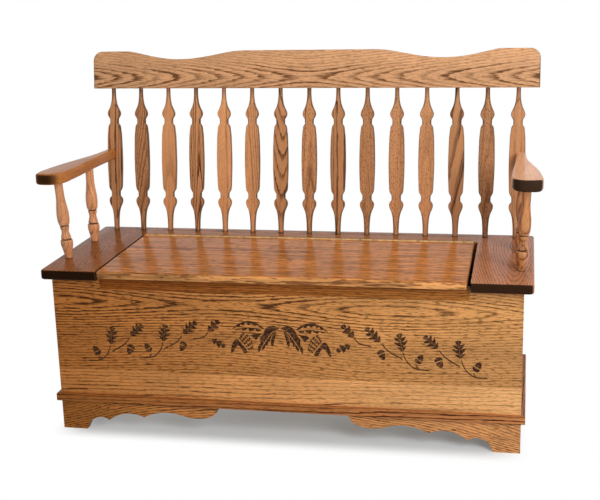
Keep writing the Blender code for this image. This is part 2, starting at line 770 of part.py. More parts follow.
def build_back():
    step = 2 * spindle_half_span / (SPINDLES - 1)
    xs = [-spindle_half_span + turn * step for turn in range(SPINDLES)]
    mesh = spindle_mesh()
    for number, x in enumerate(xs, 1):
        spindle = place("spindle_%02d" % number, mesh, BACK_OAK, back_frame)
        spindle.location = (x, 0.0, 0.0)

    rail = place("crest_rail", flat_mesh("crest_rail", rail_outline(), RAIL_THICK), BACK_OAK,
                 back_frame)
    rail.location = (0.0, 0.0, SPINDLE_LENGTH)
    rail.rotation_euler = (pi / 2, 0.0, 0.0)
    add_rounding(rail, RAIL_ROUNDING)
    places = [(x, 0.0) for x in xs]
    cut(rail, sockets("rail_sockets", places, SPINDLE_LENGTH - SPINDLE_RAIL_TENON,
                      SPINDLE_LENGTH + SPINDLE_RAIL_TENON + FIT, SPINDLE_HEAD[-1][1], back_frame))
    seat_sockets = sockets("spindle_sockets", places, -SPINDLE_SEAT_TENON - FIT,
                           SPINDLE_SEAT_TENON, SPINDLE_FOOT[0][1], back_frame)
    for name in ("left_seat_board", "seat_back_strip", "right_seat_board"):
        cut(bpy.data.objects[name], seat_sockets)


def arm_outline():
    """The right arm seen from above, and the handle type of each of its points."""
    front = seat_front + ARM_SETBACK
    back = spindle_y + SPINDLE_LENGTH * sin(RECLINE)
    points = [(spindle_half_span + ARM_BACK_INNER, back)]
    points += [(spindle_half_span + out, front + along) for out, along in ARM_SMOOTH]
    points.append((spindle_half_span + ARM_BACK_OUTER, back))
    handles = ["VECTOR"] + ["AUTO"] * len(ARM_SMOOTH) + ["VECTOR"]
    return points, handles


def arm_under_z(y):
    """Height of the arm's underside at a place along its depth."""
    return SEAT_HEIGHT + ARM_HEIGHT - tan(ARM_TILT) * y - ARM_THICK / cos(ARM_TILT)


def build_post(side, place_name, foot, head):
    """A post on the line from its foot to its head, and its sockets in the seat and the arm."""
    name = side + place_name
    sign = -1 if side == "left" else 1
    low = Vector((sign * (spindle_half_span + foot[0]), seat_front + foot[1], SEAT_HEIGHT))
    head_y = seat_front + head[1]
    high = Vector((sign * (spindle_half_span + head[0]), head_y, arm_under_z(head_y)))
    length = (high - low).length
    turn = (high - low).to_track_quat("Z", "Y").to_euler()
    axis = new_frame(name + "_axis", low, bench, turn)
    neck = POST_PROFILE[-1][1]
    stations = [(-POST_SEAT_TENON, POST_PROFILE[0][1]), *POST_PROFILE,
                (length + POST_ARM_TENON, neck)]
    place(name, turned_mesh(name, stations, TURNED_SIDES), BACK_OAK, axis)
    cut(bpy.data.objects[side + "_seat_board"],
        sockets(name + "_foot_socket", [(0.0, 0.0)], -POST_SEAT_TENON - FIT, POST_SEAT_TENON,
                POST_PROFILE[0][1], axis))
    cut(bpy.data.objects[side + "_arm"],
        sockets(name + "_head_socket", [(0.0, 0.0)], length - ARM_THICK,
                length + POST_ARM_TENON + FIT, neck, axis))


def build_arms():
    points, handles = arm_outline()
    slab_low = -SPINDLE_THICK / 2 - FIT
    slab = box_mesh("spindle_front", ((-SEAT_WIDTH, slab_low, 0.0),
                                      (SEAT_WIDTH, SEAT_DEPTH, SPINDLE_LENGTH)))
    slab = place_cutter("spindle_front", slab, back_frame)
    screw_height = (ARM_HEIGHT - tan(ARM_TILT) * spindle_y - ARM_THICK / 2) / cos(RECLINE)
    shape = (ARM_SCREW_HEAD_RADIUS, ARM_SCREW_HEAD_TALL, ARM_SCREW_SHANK_RADIUS, ARM_SCREW_LENGTH)
    screw_xs = [sign * (spindle_half_span + ARM_SCREW_OFFSET) for sign in (-1, 1)]
    location = Vector((0.0, SPINDLE_THICK / 2 - HEAD_SUNK, screw_height))
    holes = add_screws(("left_arm_screw", "right_arm_screw"), screw_xs, shape, STEEL, back_frame,
                       location, (-pi / 2, 0.0, 0.0))
    for side, sign, spindle_number in (("left", -1, 1), ("right", 1, SPINDLES)):
        outline = [(sign * x, y) for x, y in points]
        mesh = flat_mesh(side + "_arm", outline, ARM_THICK, handles, ARM_CURVE_STEPS)
        mesh.transform(Matrix.Translation((0.0, 0.0, -ARM_THICK / 2)))
        arm = place(side + "_arm", mesh, BACK_OAK, arm_frame)
        add_rounding(arm, ARM_ROUNDING)
        cut(arm, slab)
        cut(arm, holes)
        cut(bpy.data.objects["spindle_%02d" % spindle_number], holes)
        build_post(side, "_front_post", FRONT_POST_FOOT, FRONT_POST_HEAD)
        build_post(side, "_rear_post", REAR_POST_FOOT, REAR_POST_HEAD)


clear_scene()
parts = new_collection("storage_bench")
cutters = new_collection("cutters")
hinge_axis = Vector(((lid_left + lid_right) / 2, hinge_y, hinge_z))
bench = new_frame("bench", (0.0, frame_shift, 0.0))
lid_hinge = new_frame("lid_hinge", hinge_axis, bench)
hinge_line = new_frame("hinge_line", hinge_axis, bench)
back_frame = new_frame("back_frame", (0.0, spindle_y, SEAT_HEIGHT), bench, (-RECLINE, 0.0, 0.0))
arm_frame = new_frame("arm_frame", (0.0, 0.0, SEAT_HEIGHT + ARM_HEIGHT), bench,
                      (-ARM_TILT, 0.0, 0.0))
build_seat()
build_lid()
build_chest()
build_skirts()
build_mouldings()
build_hinge()
build_back()
build_arms()
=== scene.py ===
import json
from math import asin, atan2, cos, pi, radians, sin, sqrt

import bmesh
import bpy
from mathutils import Matrix, Vector


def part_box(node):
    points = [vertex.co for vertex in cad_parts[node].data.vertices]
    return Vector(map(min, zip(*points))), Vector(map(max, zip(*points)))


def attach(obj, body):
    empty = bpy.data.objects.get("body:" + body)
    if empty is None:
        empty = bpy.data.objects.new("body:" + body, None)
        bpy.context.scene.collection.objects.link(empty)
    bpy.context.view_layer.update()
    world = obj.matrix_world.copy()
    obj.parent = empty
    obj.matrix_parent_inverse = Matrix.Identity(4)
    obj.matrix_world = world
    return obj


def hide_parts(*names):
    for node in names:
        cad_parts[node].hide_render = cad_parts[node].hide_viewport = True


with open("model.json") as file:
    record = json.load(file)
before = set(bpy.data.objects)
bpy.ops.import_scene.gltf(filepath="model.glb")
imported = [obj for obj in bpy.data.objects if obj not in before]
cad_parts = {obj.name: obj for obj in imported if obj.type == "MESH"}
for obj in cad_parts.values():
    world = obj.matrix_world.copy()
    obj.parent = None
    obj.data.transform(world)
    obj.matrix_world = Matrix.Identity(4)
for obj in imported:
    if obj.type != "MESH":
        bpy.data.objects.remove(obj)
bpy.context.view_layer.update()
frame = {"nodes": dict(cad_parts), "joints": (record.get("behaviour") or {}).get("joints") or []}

scene = bpy.context.scene
mm = 0.001
print("frame loaded:", len(frame["nodes"]), "nodes")


def feed(tree, node, values):
    # links wires to a node's inputs and sets plain values on them
    for name, value in values.items():
        if isinstance(value, Wire):
            tree.links.new(value.socket, node.inputs[name])
        else:
            node.inputs[name].default_value = value


class Wire:
    # one output socket; operators on it add Math nodes to its tree
    def __init__(self, socket):
        self.socket = socket

    @classmethod
    def node(cls, tree, kind, settings=None, inputs=None, output=0):
        # any node: its settings first, then the values or links of its inputs
        made = tree.nodes.new(kind)
        for name, value in (settings or {}).items():
            setattr(made, name, value)
        feed(tree, made, inputs or {})
        return cls(made.outputs[output])

    def maths(self, operation, *values):
        return Wire.node(self.socket.id_data, "ShaderNodeMath", {"operation": operation},
                         dict(enumerate(values)))

    def __add__(self, other):
        return self.maths("ADD", self, other)

    __radd__ = __add__

    def __sub__(self, other):
        return self.maths("SUBTRACT", self, other)

    def __rsub__(self, other):
        return self.maths("SUBTRACT", other, self)

    def __mul__(self, other):
        return self.maths("MULTIPLY", self, other)

    __rmul__ = __mul__

    def __truediv__(self, other):
        return self.maths("DIVIDE", self, other)

    def root(self):
        return self.maths("SQRT", self)

    def part(self):
        return self.maths("FRACT", self)

    def size(self):
        return self.maths("ABSOLUTE", self)

    def step(self, low, high, bottom=0.0, top=1.0):
        # a smooth rise from bottom to top while this runs from low to high
        return Wire.node(self.socket.id_data, "ShaderNodeMapRange",
                         {"interpolation_type": "SMOOTHSTEP"},
                         {"Value": self, "From Min": low, "From Max": high,
                          "To Min": bottom, "To Max": top})


def newMaterial(name):
    material = bpy.data.materials.new(name)
    material.use_nodes = True
    return material, material.node_tree, material.node_tree.nodes["Principled BSDF"]


def blendColours(tree, factor, first, second, mode="MIX"):
    rgba = [value if isinstance(value, Wire) else (*value, 1.0) for value in (first, second)]
    return Wire.node(tree, "ShaderNodeMix", {"data_type": "RGBA", "blend_type": mode},
                     {0: factor, 6: rgba[0], 7: rgba[1]}, 2)


def noiseAt(tree, x, y, z, detail=2.0):
    where = Wire.node(tree, "ShaderNodeCombineXYZ", None, {0: x, 1: y, 2: z})
    return Wire.node(tree, "ShaderNodeTexNoise", None,
                     {"Vector": where, "Scale": 1.0, "Detail": detail})


def axesOf(tree, vector, count=3):
    return [Wire.node(tree, "ShaderNodeSeparateXYZ", None, {0: vector}, n) for n in range(count)]


def objectAxes(tree, count=3):
    return axesOf(tree, Wire.node(tree, "ShaderNodeTexCoord", output="Object"), count)


def seenRays(tree):
    # 1 for camera, glossy and transmission rays, which see plain white around the bench
    rays = [Wire.node(tree, "ShaderNodeLightPath", output=name)
            for name in ("Is Camera Ray", "Is Glossy Ray", "Is Transmission Ray")]
    return rays[0].maths("MAXIMUM", rays[0], rays[1].maths("MAXIMUM", rays[1], rays[2]))


oakDefaults = {
    "light": (0.62, 0.30, 0.105), "dark": (0.085, 0.028, 0.007), "end": (0.007, 0.003, 0.001),
    "grain": "xzy",             # the axes along the grain, across the face and into it
    "origin": (0.0, 0.0, 0.0), "tilt": 0.0,     # the piece's own frame, tilted about X
    "heart": (0.0, 0.03),       # of the rings, across and into the face, from the origin
    "ring": 0.006, "band": 0.5,     # a year's width and the dark share of it
    "taper": 0.0, "bow": 0.0, "apex": 0.0, "slope": 0.0, "sag": 0.0,
    "fade": (0.5, 1.0),         # distance from the heart line and the contrast left there
    "clearer": 0.0,             # how much stronger the lines get along the grain
    "streak": (16.0, 380.0, 0.08),      # fine streaks: along, across and strength
    "wave": (0.0, 0.3, 0.0),    # height, length and start of waves along the grain
    "warp": 0.012, "warpLong": 2.2, "warpWide": 9.0, "wiggle": 0.0022, "ragged": 0.5,
    "contrast": 1.3, "breakLong": 24.0, "breakWide": 170.0, "solid": 0.35,
    "flecks": 0.4, "fleckLong": 50.0, "fleckWide": 280.0, "cloud": 0.12,
    # noises along and across the grain, and the depth of the pores
    "small": (26.0, 95.0), "patches": (3.1, 17.0), "speckle": (300.0, 420.0), "pores": 0.0004,
    "seedStep": 7.31,
    "vary": 0.35, "drift": (0.0, 0.0, 0.0),     # between years, and of each colour along the grain, the wood's tone together with painted shade
    "clouds": (),               # soft large clouds of tone, on the panel one of them a painted shadow: middle and reach along, then across; lightness
    "rough": 0.34, "gloss": 0.11, "bump": 0.18, "seed": 0.0,
    "rim": 0.0, "rimTone": (0.10, 0.08, 0.07),      # strength and tone of painted shading on the faces that look across the grain
    "rings": (),                # place along the grain, half width and depth of painted shade rings
    "endMask": 0.96, "endFrom": (0.4, 0.85),
    "endReach": None,           # places along the grain where the end colour begins and is full
    "joint": None,              # how far across a second board begins, and its own look
}


def figure(tree, axes, look):
    # one board: dark broken bands in rings about a heart line, and short pores between them
    along, across, deep = axes
    seed = look["seed"] * look["seedStep"]
    if look["slope"]:
        across = across - along * look["slope"]

    def noise(long, wide, detail=2.0):
        return noiseAt(tree, along * long + seed, across * wide, deep * wide, detail)

    broad = noise(look["warpLong"], look["warpWide"]) - 0.5
    small = noise(*look["small"]) - 0.5
    long, wide, strength = look["streak"]
    streaks = noise(long, wide)
    sideways = across - look["heart"][0]
    inward = deep - look["heart"][1]
    radius = (sideways * sideways + inward * inward).root()
    radius = radius + broad * look["warp"] + small * look["wiggle"] + along * look["taper"]
    if look["bow"]:
        reach = along - look["apex"]
        radius = radius + (reach * reach + 0.003).root() * look["bow"]
    if look["sag"]:
        radius = radius + along * along * look["sag"]
    if look["wave"][0]:
        height, length, start = look["wave"]
        angle = (along - start) * (2 * pi / length)
        radius = radius - angle.maths("COSINE", angle) * height
    turns = radius / look["ring"] + (streaks - 0.5) * look["ragged"] + seed
    ring = turns.part()
    year = Wire.node(tree, "ShaderNodeTexWhiteNoise", {"noise_dimensions": "1D"},
                     {"W": turns.maths("FLOOR", turns)}, 0)
    early = ring.step(look["band"], 0.08) * ring.step(0.0, 0.06)
    early = early * (year * (2 * look["vary"]) + (1.0 - look["vary"]))
    broken = noise(look["breakLong"], look["breakWide"]).step(0.4, 0.56, look["solid"], 1.0)
    fleck = noise(look["fleckLong"], look["fleckWide"], 1.0).step(0.52, 0.68)
    patches = noise(*look["patches"], 3.0)
    reach, rest = look["fade"]
    near = sideways.size().step(0.2 * reach, reach, look["contrast"], look["contrast"] * rest)
    if look["clearer"]:
        near = near * (along * look["clearer"] + 1.0)
    dark = early * broken * near * patches.step(0.3, 0.7, 0.75, 1.2)
    dark = dark + fleck * look["flecks"] * (1.0 - dark)
    dark = dark.maths("MINIMUM", dark, 1.0)
    shade = patches.step(0.25, 0.75, 1.0 - look["cloud"], 1.0 + look["cloud"])
    shade = shade * streaks.step(0.25, 0.75, 1.0 - strength, 1.0 + strength)
    for middle, extent, level, height, lightness in look["clouds"]:
        away, off = (along - middle) * (1 / extent), (across - level) * (1 / height)
        inside = (away * away + off * off).step(1.0, 0.2)
        shade = shade * (inside * (lightness - 1.0) + 1.0)
    # tone and painted shade that change along the grain
    shades = [shade * (along * drift + 1.0) if drift else shade for drift in look["drift"]]
    tint = Wire.node(tree, "ShaderNodeCombineColor", None, dict(enumerate(shades)))
    colour = blendColours(tree, dark, look["light"], look["dark"])
    return blendColours(tree, 1.0, colour, tint, "MULTIPLY"), dark


def oak(name, **look):
    # stained open-grained wood
    look = {**oakDefaults, **look}
    material, tree, shader = newMaterial(name)
    coords = Wire.node(tree, "ShaderNodeTexCoord", output="Object")
    placed = Wire.node(tree, "ShaderNodeMapping", {"vector_type": "TEXTURE"},
                       {"Vector": coords, "Location": look["origin"],
                        "Rotation": (look["tilt"], 0.0, 0.0)})
    order = ["xyz".index(letter) for letter in look["grain"]]
    axes = axesOf(tree, placed)
    axes = along, across, deep = [axes[n] for n in order]
    colour, dark = figure(tree, axes, look)
    if look["joint"]:
        seam, other = look["joint"]
        colour2, dark2 = figure(tree, axes, {**look, **other})
        beyond = across.step(seam + 0.0002, seam - 0.0002)
        colour = blendColours(tree, beyond, colour, colour2)
        dark = dark + beyond * (dark2 - dark)

    normal = Wire.node(tree, "ShaderNodeTexCoord", output="Normal")
    normal = Wire.node(tree, "ShaderNodeVectorRotate", {"rotation_type": "X_AXIS"},
                       {"Vector": normal, "Angle": -look["tilt"]})
    sides = axesOf(tree, normal)
    lengthways, sideways = (sides[n].size() for n in order[:2])
    long, wide = look["speckle"]
    speckle = noiseAt(tree, along * long, across * wide, deep * wide)
    # painted shading: faces that look across the grain are multiplied by the side shading tone,
    # painted shade on the spindles' flanks and painted sheen on the lid's edges
    if look["rim"]:
        edge = sideways.step(0.45, 0.9) * look["rim"]
        colour = blendColours(tree, edge, colour, look["rimTone"], "MULTIPLY")
    # painted shade: darker rings along the grain where parts meet, in grooves and under the rail
    for spot, reach, depth in look["rings"]:
        ring = (along - spot).size().step(0.3 * reach, reach, depth, 0.0)
        colour = blendColours(tree, ring, colour, [3 * value for value in look["end"]])
    endGrain = lengthways.step(*look["endFrom"]) * look["endMask"]
    if look["endReach"]:
        endGrain = endGrain * along.step(*look["endReach"])
    endColour = blendColours(tree, speckle.step(0.35, 0.7), look["end"],
                             [2.2 * value for value in look["end"]])
    colour = blendColours(tree, endGrain, colour, endColour)

    rough = dark * 0.14 + speckle * 0.06 + endGrain * 0.15 + (look["rough"] - 0.03)
    bump = Wire.node(tree, "ShaderNodeBump", None,
                     {"Strength": look["bump"], "Distance": look["pores"],
                      "Height": 1.0 - dark})
    feed(tree, shader, {"Base Color": colour, "Roughness": rough, "Normal": bump,
                        "Specular IOR Level": look["gloss"]})
    return material


def plainWood(name, **look):
    # unfinished wood inside the chest
    settings = {"light": (0.60, 0.40, 0.22), "dark": (0.34, 0.19, 0.09), "end": (0.30, 0.18, 0.09),
                "rough": 0.62, "gloss": 0.10, "contrast": 0.6, "bump": 0.3}
    return oak(name, **{**settings, **look})


def metal(name, colour, rough, scratch, metallic=1.0):
    material, tree, shader = newMaterial(name)
    x, y, z = objectAxes(tree)
    lines = noiseAt(tree, x * 40.0, y * 2600.0, z * 2600.0)
    spots = noiseAt(tree, x * 90.0, y * 90.0, z * 90.0, 3.0)
    tone = blendColours(tree, spots.step(0.4, 0.75), colour, [0.62 * value for value in colour])
    feed(tree, shader, {"Base Color": tone, "Roughness": lines * scratch + spots * 0.1 + rough,
                        "Metallic": metallic})
    return material


def stainAndGapShade(name):
    # the burnt brown of the carving's floor, and painted shade on the boards' sides in the gap
    # beside the lid
    material, tree, shader = newMaterial(name)
    x, y, z = objectAxes(tree)
    fibres = noiseAt(tree, x * 60.0, y * 500.0, z * 500.0)
    clouds = noiseAt(tree, x * 130.0, y * 130.0, z * 170.0)
    tone = blendColours(tree, (fibres * 0.4 + clouds * 0.6).step(0.44, 0.67),
                        (0.030, 0.012, 0.005), (0.20, 0.086, 0.034))
    feed(tree, shader, {"Base Color": tone, "Roughness": fibres * 0.25 + 0.45,
                        "Specular IOR Level": 0.12})
    return material


print("shader tools ready")


def cube(bm, low, high):
    made = bmesh.ops.create_cube(bm, size=1.0)["verts"]
    low, high = Vector(low), Vector(high)
    bmesh.ops.scale(bm, vec=high - low, verts=made)
    bmesh.ops.translate(bm, vec=(low + high) / 2, verts=made)
    return made


def bevel(bm, edges, radius, segments):
    bmesh.ops.bevel(bm, geom=edges, offset=radius, segments=segments, profile=0.5,
                    affect="EDGES", clamp_overlap=False, material=-1)


def rims(bm, axis, sharpness=0.6):
    # edges where a face that looks along the axis meets one that doesn't
    found = []
    for edge in bm.edges:
        if len(edge.link_faces) == 2:
            facing = sorted(abs(face.normal[axis]) for face in edge.link_faces)
            if facing[1] > 0.9 and facing[0] < sharpness:
                found.append(edge)
    return found


def trim(bm, point, normal):
    # takes away what lies beyond the plane and closes the cut
    everything = bm.verts[:] + bm.edges[:] + bm.faces[:]
    made = bmesh.ops.bisect_plane(bm, geom=everything, plane_co=point, plane_no=normal,
                                  clear_outer=True)
    edges = [part for part in made["geom_cut"] if isinstance(part, bmesh.types.BMEdge)]
    bmesh.ops.holes_fill(bm, edges=edges, sides=0)


def move(bm, matrix):
    bmesh.ops.transform(bm, matrix=matrix, verts=bm.verts)


def weld(bm):
    bmesh.ops.remove_doubles(bm, verts=bm.verts, dist=0.00001)


def nodeMesh(node):
    # a copy of a CAD node's mesh
    bm = bmesh.new()
    bm.from_mesh(frame["nodes"][node].data)
    weld(bm)
    return bm


def thicken(bm, faces, way):
    # extrudes the faces and carries their far side away
    made = bmesh.ops.extrude_face_region(bm, geom=faces)
    far = [part for part in made["geom"] if isinstance(part, bmesh.types.BMVert)]
    bmesh.ops.translate(bm, vec=way, verts=far)


def roundRims(bm, axis, radius, segments):
    bmesh.ops.recalc_face_normals(bm, faces=bm.faces)
    bm.normal_update()
    bevel(bm, rims(bm, axis), radius, segments)


def newObject(name, data):
    made = bpy.data.objects.new(name, data)
    scene.collection.objects.link(made)
    return made


def finalMesh(obj):
    # the object's mesh with its modifiers or fill applied
    graph = bpy.context.evaluated_depsgraph_get()
    return bpy.data.meshes.new_from_object(obj.evaluated_get(graph))


def aimed(way):
    return way.to_track_quat("Z", "Y").to_matrix().to_4x4()


def meshOf(bm, name):
    weld(bm)
    bmesh.ops.recalc_face_normals(bm, faces=bm.faces)
    mesh = bpy.data.meshes.new(name)
    bm.to_mesh(mesh)
    bm.free()
    return mesh


smoothBelow = 38        # degrees between faces; sharper edges stay crisp


def place(bm, name, body, nodes, material, angle=smoothBelow):
    piece = newObject(name, meshOf(bm, name))
    piece.data.materials.append(material)
    smooth(piece, angle)
    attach(piece, body)
    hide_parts(*nodes)
    return piece


def smooth(piece, angle):
    piece.data.shade_smooth()
    piece.data.set_sharp_from_angle(angle=radians(angle))


def carveOut(piece, bm, material=None, angle=smoothBelow, crossing=False):
    # cuts the second shape from the piece
    tool = newObject("tool", meshOf(bm, "tool"))
    if material:
        tool.data.materials.append(material)
    change = piece.modifiers.new("change", "BOOLEAN")
    change.solver = "EXACT"
    change.use_self = crossing
    change.operation = "DIFFERENCE"
    change.material_mode = "TRANSFER"
    change.object = tool
    mesh = finalMesh(piece)
    mesh.name = piece.name
    piece.modifiers.clear()
    piece.data = mesh
    bpy.data.objects.remove(tool, do_unlink=True)
    smooth(piece, angle)


def rod(bm, start, end, radius, steps=24):
    start, end = Vector(start), Vector(end)
    turn = Matrix.Translation((start + end) / 2) @ aimed(end - start)
    bmesh.ops.create_cone(bm, cap_ends=True, segments=steps, radius1=radius, radius2=radius,
                          depth=(end - start).length, matrix=turn)


def curved(stations, between):
    # a smooth run of (height, radius) in mm; a third value marks a corner
    points = []
    for i in range(len(stations) - 1):
        (h0, r0), (h1, r1) = stations[i][:2], stations[i + 1][:2]
        slopes = []
        for k in (i, i + 1):
            smoothHere = 0 < k < len(stations) - 1 and len(stations[k]) == 2
            before, after = ((stations[k - 1], stations[k + 1]) if smoothHere else
                             (stations[i], stations[i + 1]))
            slopes.append((after[1] - before[1]) / (after[0] - before[0]))
        for step in range(between):
            t = step / between
            bend = (2 * t ** 3 - 3 * t ** 2 + 1, t ** 3 - 2 * t ** 2 + t,
                    3 * t ** 2 - 2 * t ** 3, t ** 3 - t ** 2)
            radius = (bend[0] * r0 + bend[1] * slopes[0] * (h1 - h0)
                      + bend[2] * r1 + bend[3] * slopes[1] * (h1 - h0))
            points.append(((h0 + (h1 - h0) * t) * mm, radius * mm))
    points.append((stations[-1][0] * mm, stations[-1][1] * mm))
    return points


def turned(stations, between=3, steps=40):
    # a turned body about Z
    bm = bmesh.new()
    profile = curved(stations, between)
    chain = [bm.verts.new((0.0, 0.0, profile[0][0]))]
    chain += [bm.verts.new((radius, 0.0, height)) for height, radius in profile]
    chain.append(bm.verts.new((0.0, 0.0, profile[-1][0])))
    edges = [bm.edges.new(pair) for pair in zip(chain, chain[1:])]
    bmesh.ops.spin(bm, geom=chain + edges, cent=(0, 0, 0), axis=(0, 0, 1), angle=2 * pi,
                   steps=steps, use_merge=True, use_duplicate=False)
    weld(bm)
    return bm


print("mesh tools ready")


leftBoard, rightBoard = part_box("left_seat_board"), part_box("right_seat_board")
backStrip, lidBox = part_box("seat_back_strip"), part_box("lid")
seatTop = leftBoard[1].z
seatFront, seatBack = leftBoard[0].y, leftBoard[1].y
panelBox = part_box("front_panel")
bothSides = (("left", -1), ("right", 1))
spindleStep, spindleCount = 0.08, 15
spindleXs = [(number - spindleCount // 2) * spindleStep for number in range(spindleCount)]
outermost = spindleXs[-1]
backInset, armHeight = 0.0371, 0.2331       # from the seat's back edge and over the seat
recline, armTilt = radians(7.15), radians(1.15)


def turnedTo(spot, angle, axis):
    return Matrix.Translation(spot) @ Matrix.Rotation(angle, 4, axis)


backPlace = turnedTo((0.0, seatBack - backInset, seatTop), -recline, "X")
armPlace = turnedTo((0.0, (seatFront + seatBack) / 2, seatTop + armHeight), -armTilt, "X")
backFrame = {"origin": tuple(backPlace.translation), "tilt": -recline}
armFrame = {"origin": tuple(armPlace.translation), "tilt": -armTilt}


spindleShape = {
    "thick": 16.0, "low": -16.0, "high": 417.0,
    "profile": [(0, 7.3), (27, 7.9), (42, 8.9), (51, 9.9), (58, 11.3), (66, 13.8), (73, 17.0),
                (79, 19.0), (85, 19.5), (90, 18.2), (94, 15.4), (97, 12.9, 1), (109, 12.9, 1),
                (113.5, 15.4), (118.5, 18.2), (127.5, 19.6), (148, 20.5), (173, 21.4),
                (203, 21.7), (233.5, 21.2), (269, 20.1), (281, 18.8), (294, 17.3),
                (299, 14.9), (302, 12.4, 1), (314, 12.4, 1), (318.7, 14.8), (323, 17.4),
                (329, 18.7), (335.5, 17.5), (341.5, 14.8), (347.5, 12.0), (356.5, 9.0),
                (365.6, 7.2), (380.7, 5.9), (399, 5.7)],
}
# each spindle from left to right: lightness, contrast, ring, heart, warp, taper, flecks
spindleTones = [
    (0.92, 1.20, 5.2, 10.0, 5.0, 0.00, 0.30), (0.82, 0.75, 4.2, 24.0, 7.0, 0.03, 0.55),
    (1.16, 0.35, 11.0, 40.0, 5.0, 0.05, 0.15), (1.00, 1.50, 4.4, 4.0, 9.0, 0.02, 0.20),
    (1.32, 0.40, 7.0, 35.0, 4.0, 0.00, 0.25), (1.18, 0.70, 3.6, 30.0, 3.0, 0.00, 0.40),
    (0.91, 1.00, 11.5, 3.0, 4.0, -0.22, 0.15), (0.93, 0.50, 3.2, 40.0, 3.0, 0.01, 0.60),
    (0.84, 1.30, 7.0, 6.0, 7.0, 0.00, 0.20), (0.84, 0.35, 3.2, 45.0, 3.0, 0.02, 0.70),
    (0.97, 0.35, 3.2, 50.0, 3.0, 0.00, 0.65), (1.02, 0.30, 3.4, 45.0, 3.0, 0.01, 0.55),
    (0.86, 1.50, 26.0, 8.0, 16.0, 0.02, 0.15), (0.75, 0.55, 3.2, 40.0, 5.0, 0.02, 0.70),
    (0.94, 0.50, 4.4, 30.0, 4.0, 0.00, 0.25),
]
spindleSlopes = {2: 0.10, 6: -0.06, 7: 0.03, 13: 0.17}     # how far the grain runs out sideways
spindleLight, spindleDark = (0.60, 0.29, 0.135), (0.10, 0.035, 0.014)


def spindleBlank():
    shape = spindleShape
    foot, (top, neck) = shape["profile"][0][1], shape["profile"][-1]
    bm = turned([(shape["low"], foot), (0, foot, 1)] + shape["profile"][1:-1]
                + [(top, neck, 1), (shape["high"], neck)])
    for side in (-1, 1):
        trim(bm, (0.0, side * shape["thick"] / 2 * mm, 0.0), (0, side, 0))
    return bm


blank = spindleBlank()
for number, (x, tone) in enumerate(zip(spindleXs, spindleTones), 1):
    lightness, contrast, ring, heart, warp, taper, flecks = tone
    bm = blank.copy()
    move(bm, backPlace @ Matrix.Translation((x, 0.0, 0.0)))
    # painted shade: side shading darkens each spindle's flanks, and the rings darken its foot at
    # the seat and its neck under the rail
    wood = oak("spindle_%02d_oak" % number, light=[lightness * value for value in spindleLight],
               dark=spindleDark, grain="zxy", origin=tuple(backPlace @ Vector((x, 0.0, 0.0))),
               tilt=-recline, heart=((number % 5 - 2) * 4 * mm, heart * mm), ring=ring * mm,
               warp=warp * mm, warpLong=5.0, warpWide=30.0, taper=taper, contrast=contrast,
               flecks=flecks, fleckLong=170.0, fleckWide=480.0, wiggle=0.0014, seed=number,
               slope=spindleSlopes.get(number, 0.0), solid=0.7, endMask=0.0, rim=0.6, cloud=0.14,
               rings=((0.0, 0.007, 0.6), (0.410, 0.045, 0.42)))
    place(bm, "turned_spindle_%02d" % number, "bench", ["spindle_%02d" % number],
          wood)
blank.free()
print("spindles made")

railShape = {"height": 102.8, "half": 614.6, "thick": 23.4, "corner": 27.0, "round": 3.0,
             "scoopAt": 362.8, "scoopInner": (182.0, 2.0), "scoopOuter": (148.0, 1.3),
             "scoop": 22.5, "low": 399.0, "foot": 0.3, "columns": 160, "cornerColumns": 9,
             "holeFrom": 0.380, "holeTo": 0.4173, "hole": 0.0060}    # the holes in metres


def crestRail():
    shape = railShape
    bm = bmesh.new()
    bmesh.ops.create_grid(bm, x_segments=shape["columns"], y_segments=1, size=0.5)
    straight, corner = shape["half"] - shape["corner"], shape["corner"]
    for vert in bm.verts:
        column = round(abs(vert.co.x) * shape["columns"])       # counted from the middle
        last = shape["columns"] // 2 - shape["cornerColumns"]
        turn = pi / 2 * max(0, column - last) / shape["cornerColumns"]
        x = straight * min(1.0, column / last) + corner * sin(turn)
        reach, power = shape["scoopInner" if x < shape["scoopAt"] else "scoopOuter"]
        share = (x - shape["scoopAt"]) / reach
        dip = shape["scoop"] * (1 - share ** 2) ** power if abs(share) < 1 else 0.0
        dip += corner * (1 - cos(turn))
        x = x if vert.co.x > 0 else -x
        height = shape["height"] - dip if vert.co.y > 0 else shape["foot"]
        vert.co = Vector((x, -shape["thick"] / 2, shape["low"] + height)) * mm
    thicken(bm, bm.faces[:], (0.0, shape["thick"] * mm, 0.0))
    roundRims(bm, 1, shape["round"] * mm, 3)
    move(bm, backPlace)
    return bm


railOak = oak("rail_oak", light=(0.73, 0.41, 0.22), dark=(0.17, 0.07, 0.026), grain="xzy",
              heart=(0.429, 0.011), ring=0.0066, band=0.62, bow=-0.11, warp=0.007, warpLong=3.0,
              warpWide=14.0, ragged=0.9, contrast=1.25, solid=0.6, fade=(0.045, 0.35), flecks=0.4,
              fleckLong=70.0, fleckWide=420.0, vary=0.5, seed=3.0, endMask=0.6, cloud=0.10,
              **backFrame)
rail = place(crestRail(), "shaped_crest_rail", "bench", ["crest_rail"], railOak)
holes = bmesh.new()
for x in spindleXs:
    rod(holes, (x, 0.0, railShape["holeFrom"]), (x, 0.0, railShape["holeTo"]), railShape["hole"])
move(holes, backPlace)
carveOut(rail, holes)
print("crest rail made")


boardShape = {"corner": 12.0, "round": 5.0, "cornerSteps": 8, "roundSteps": 5}


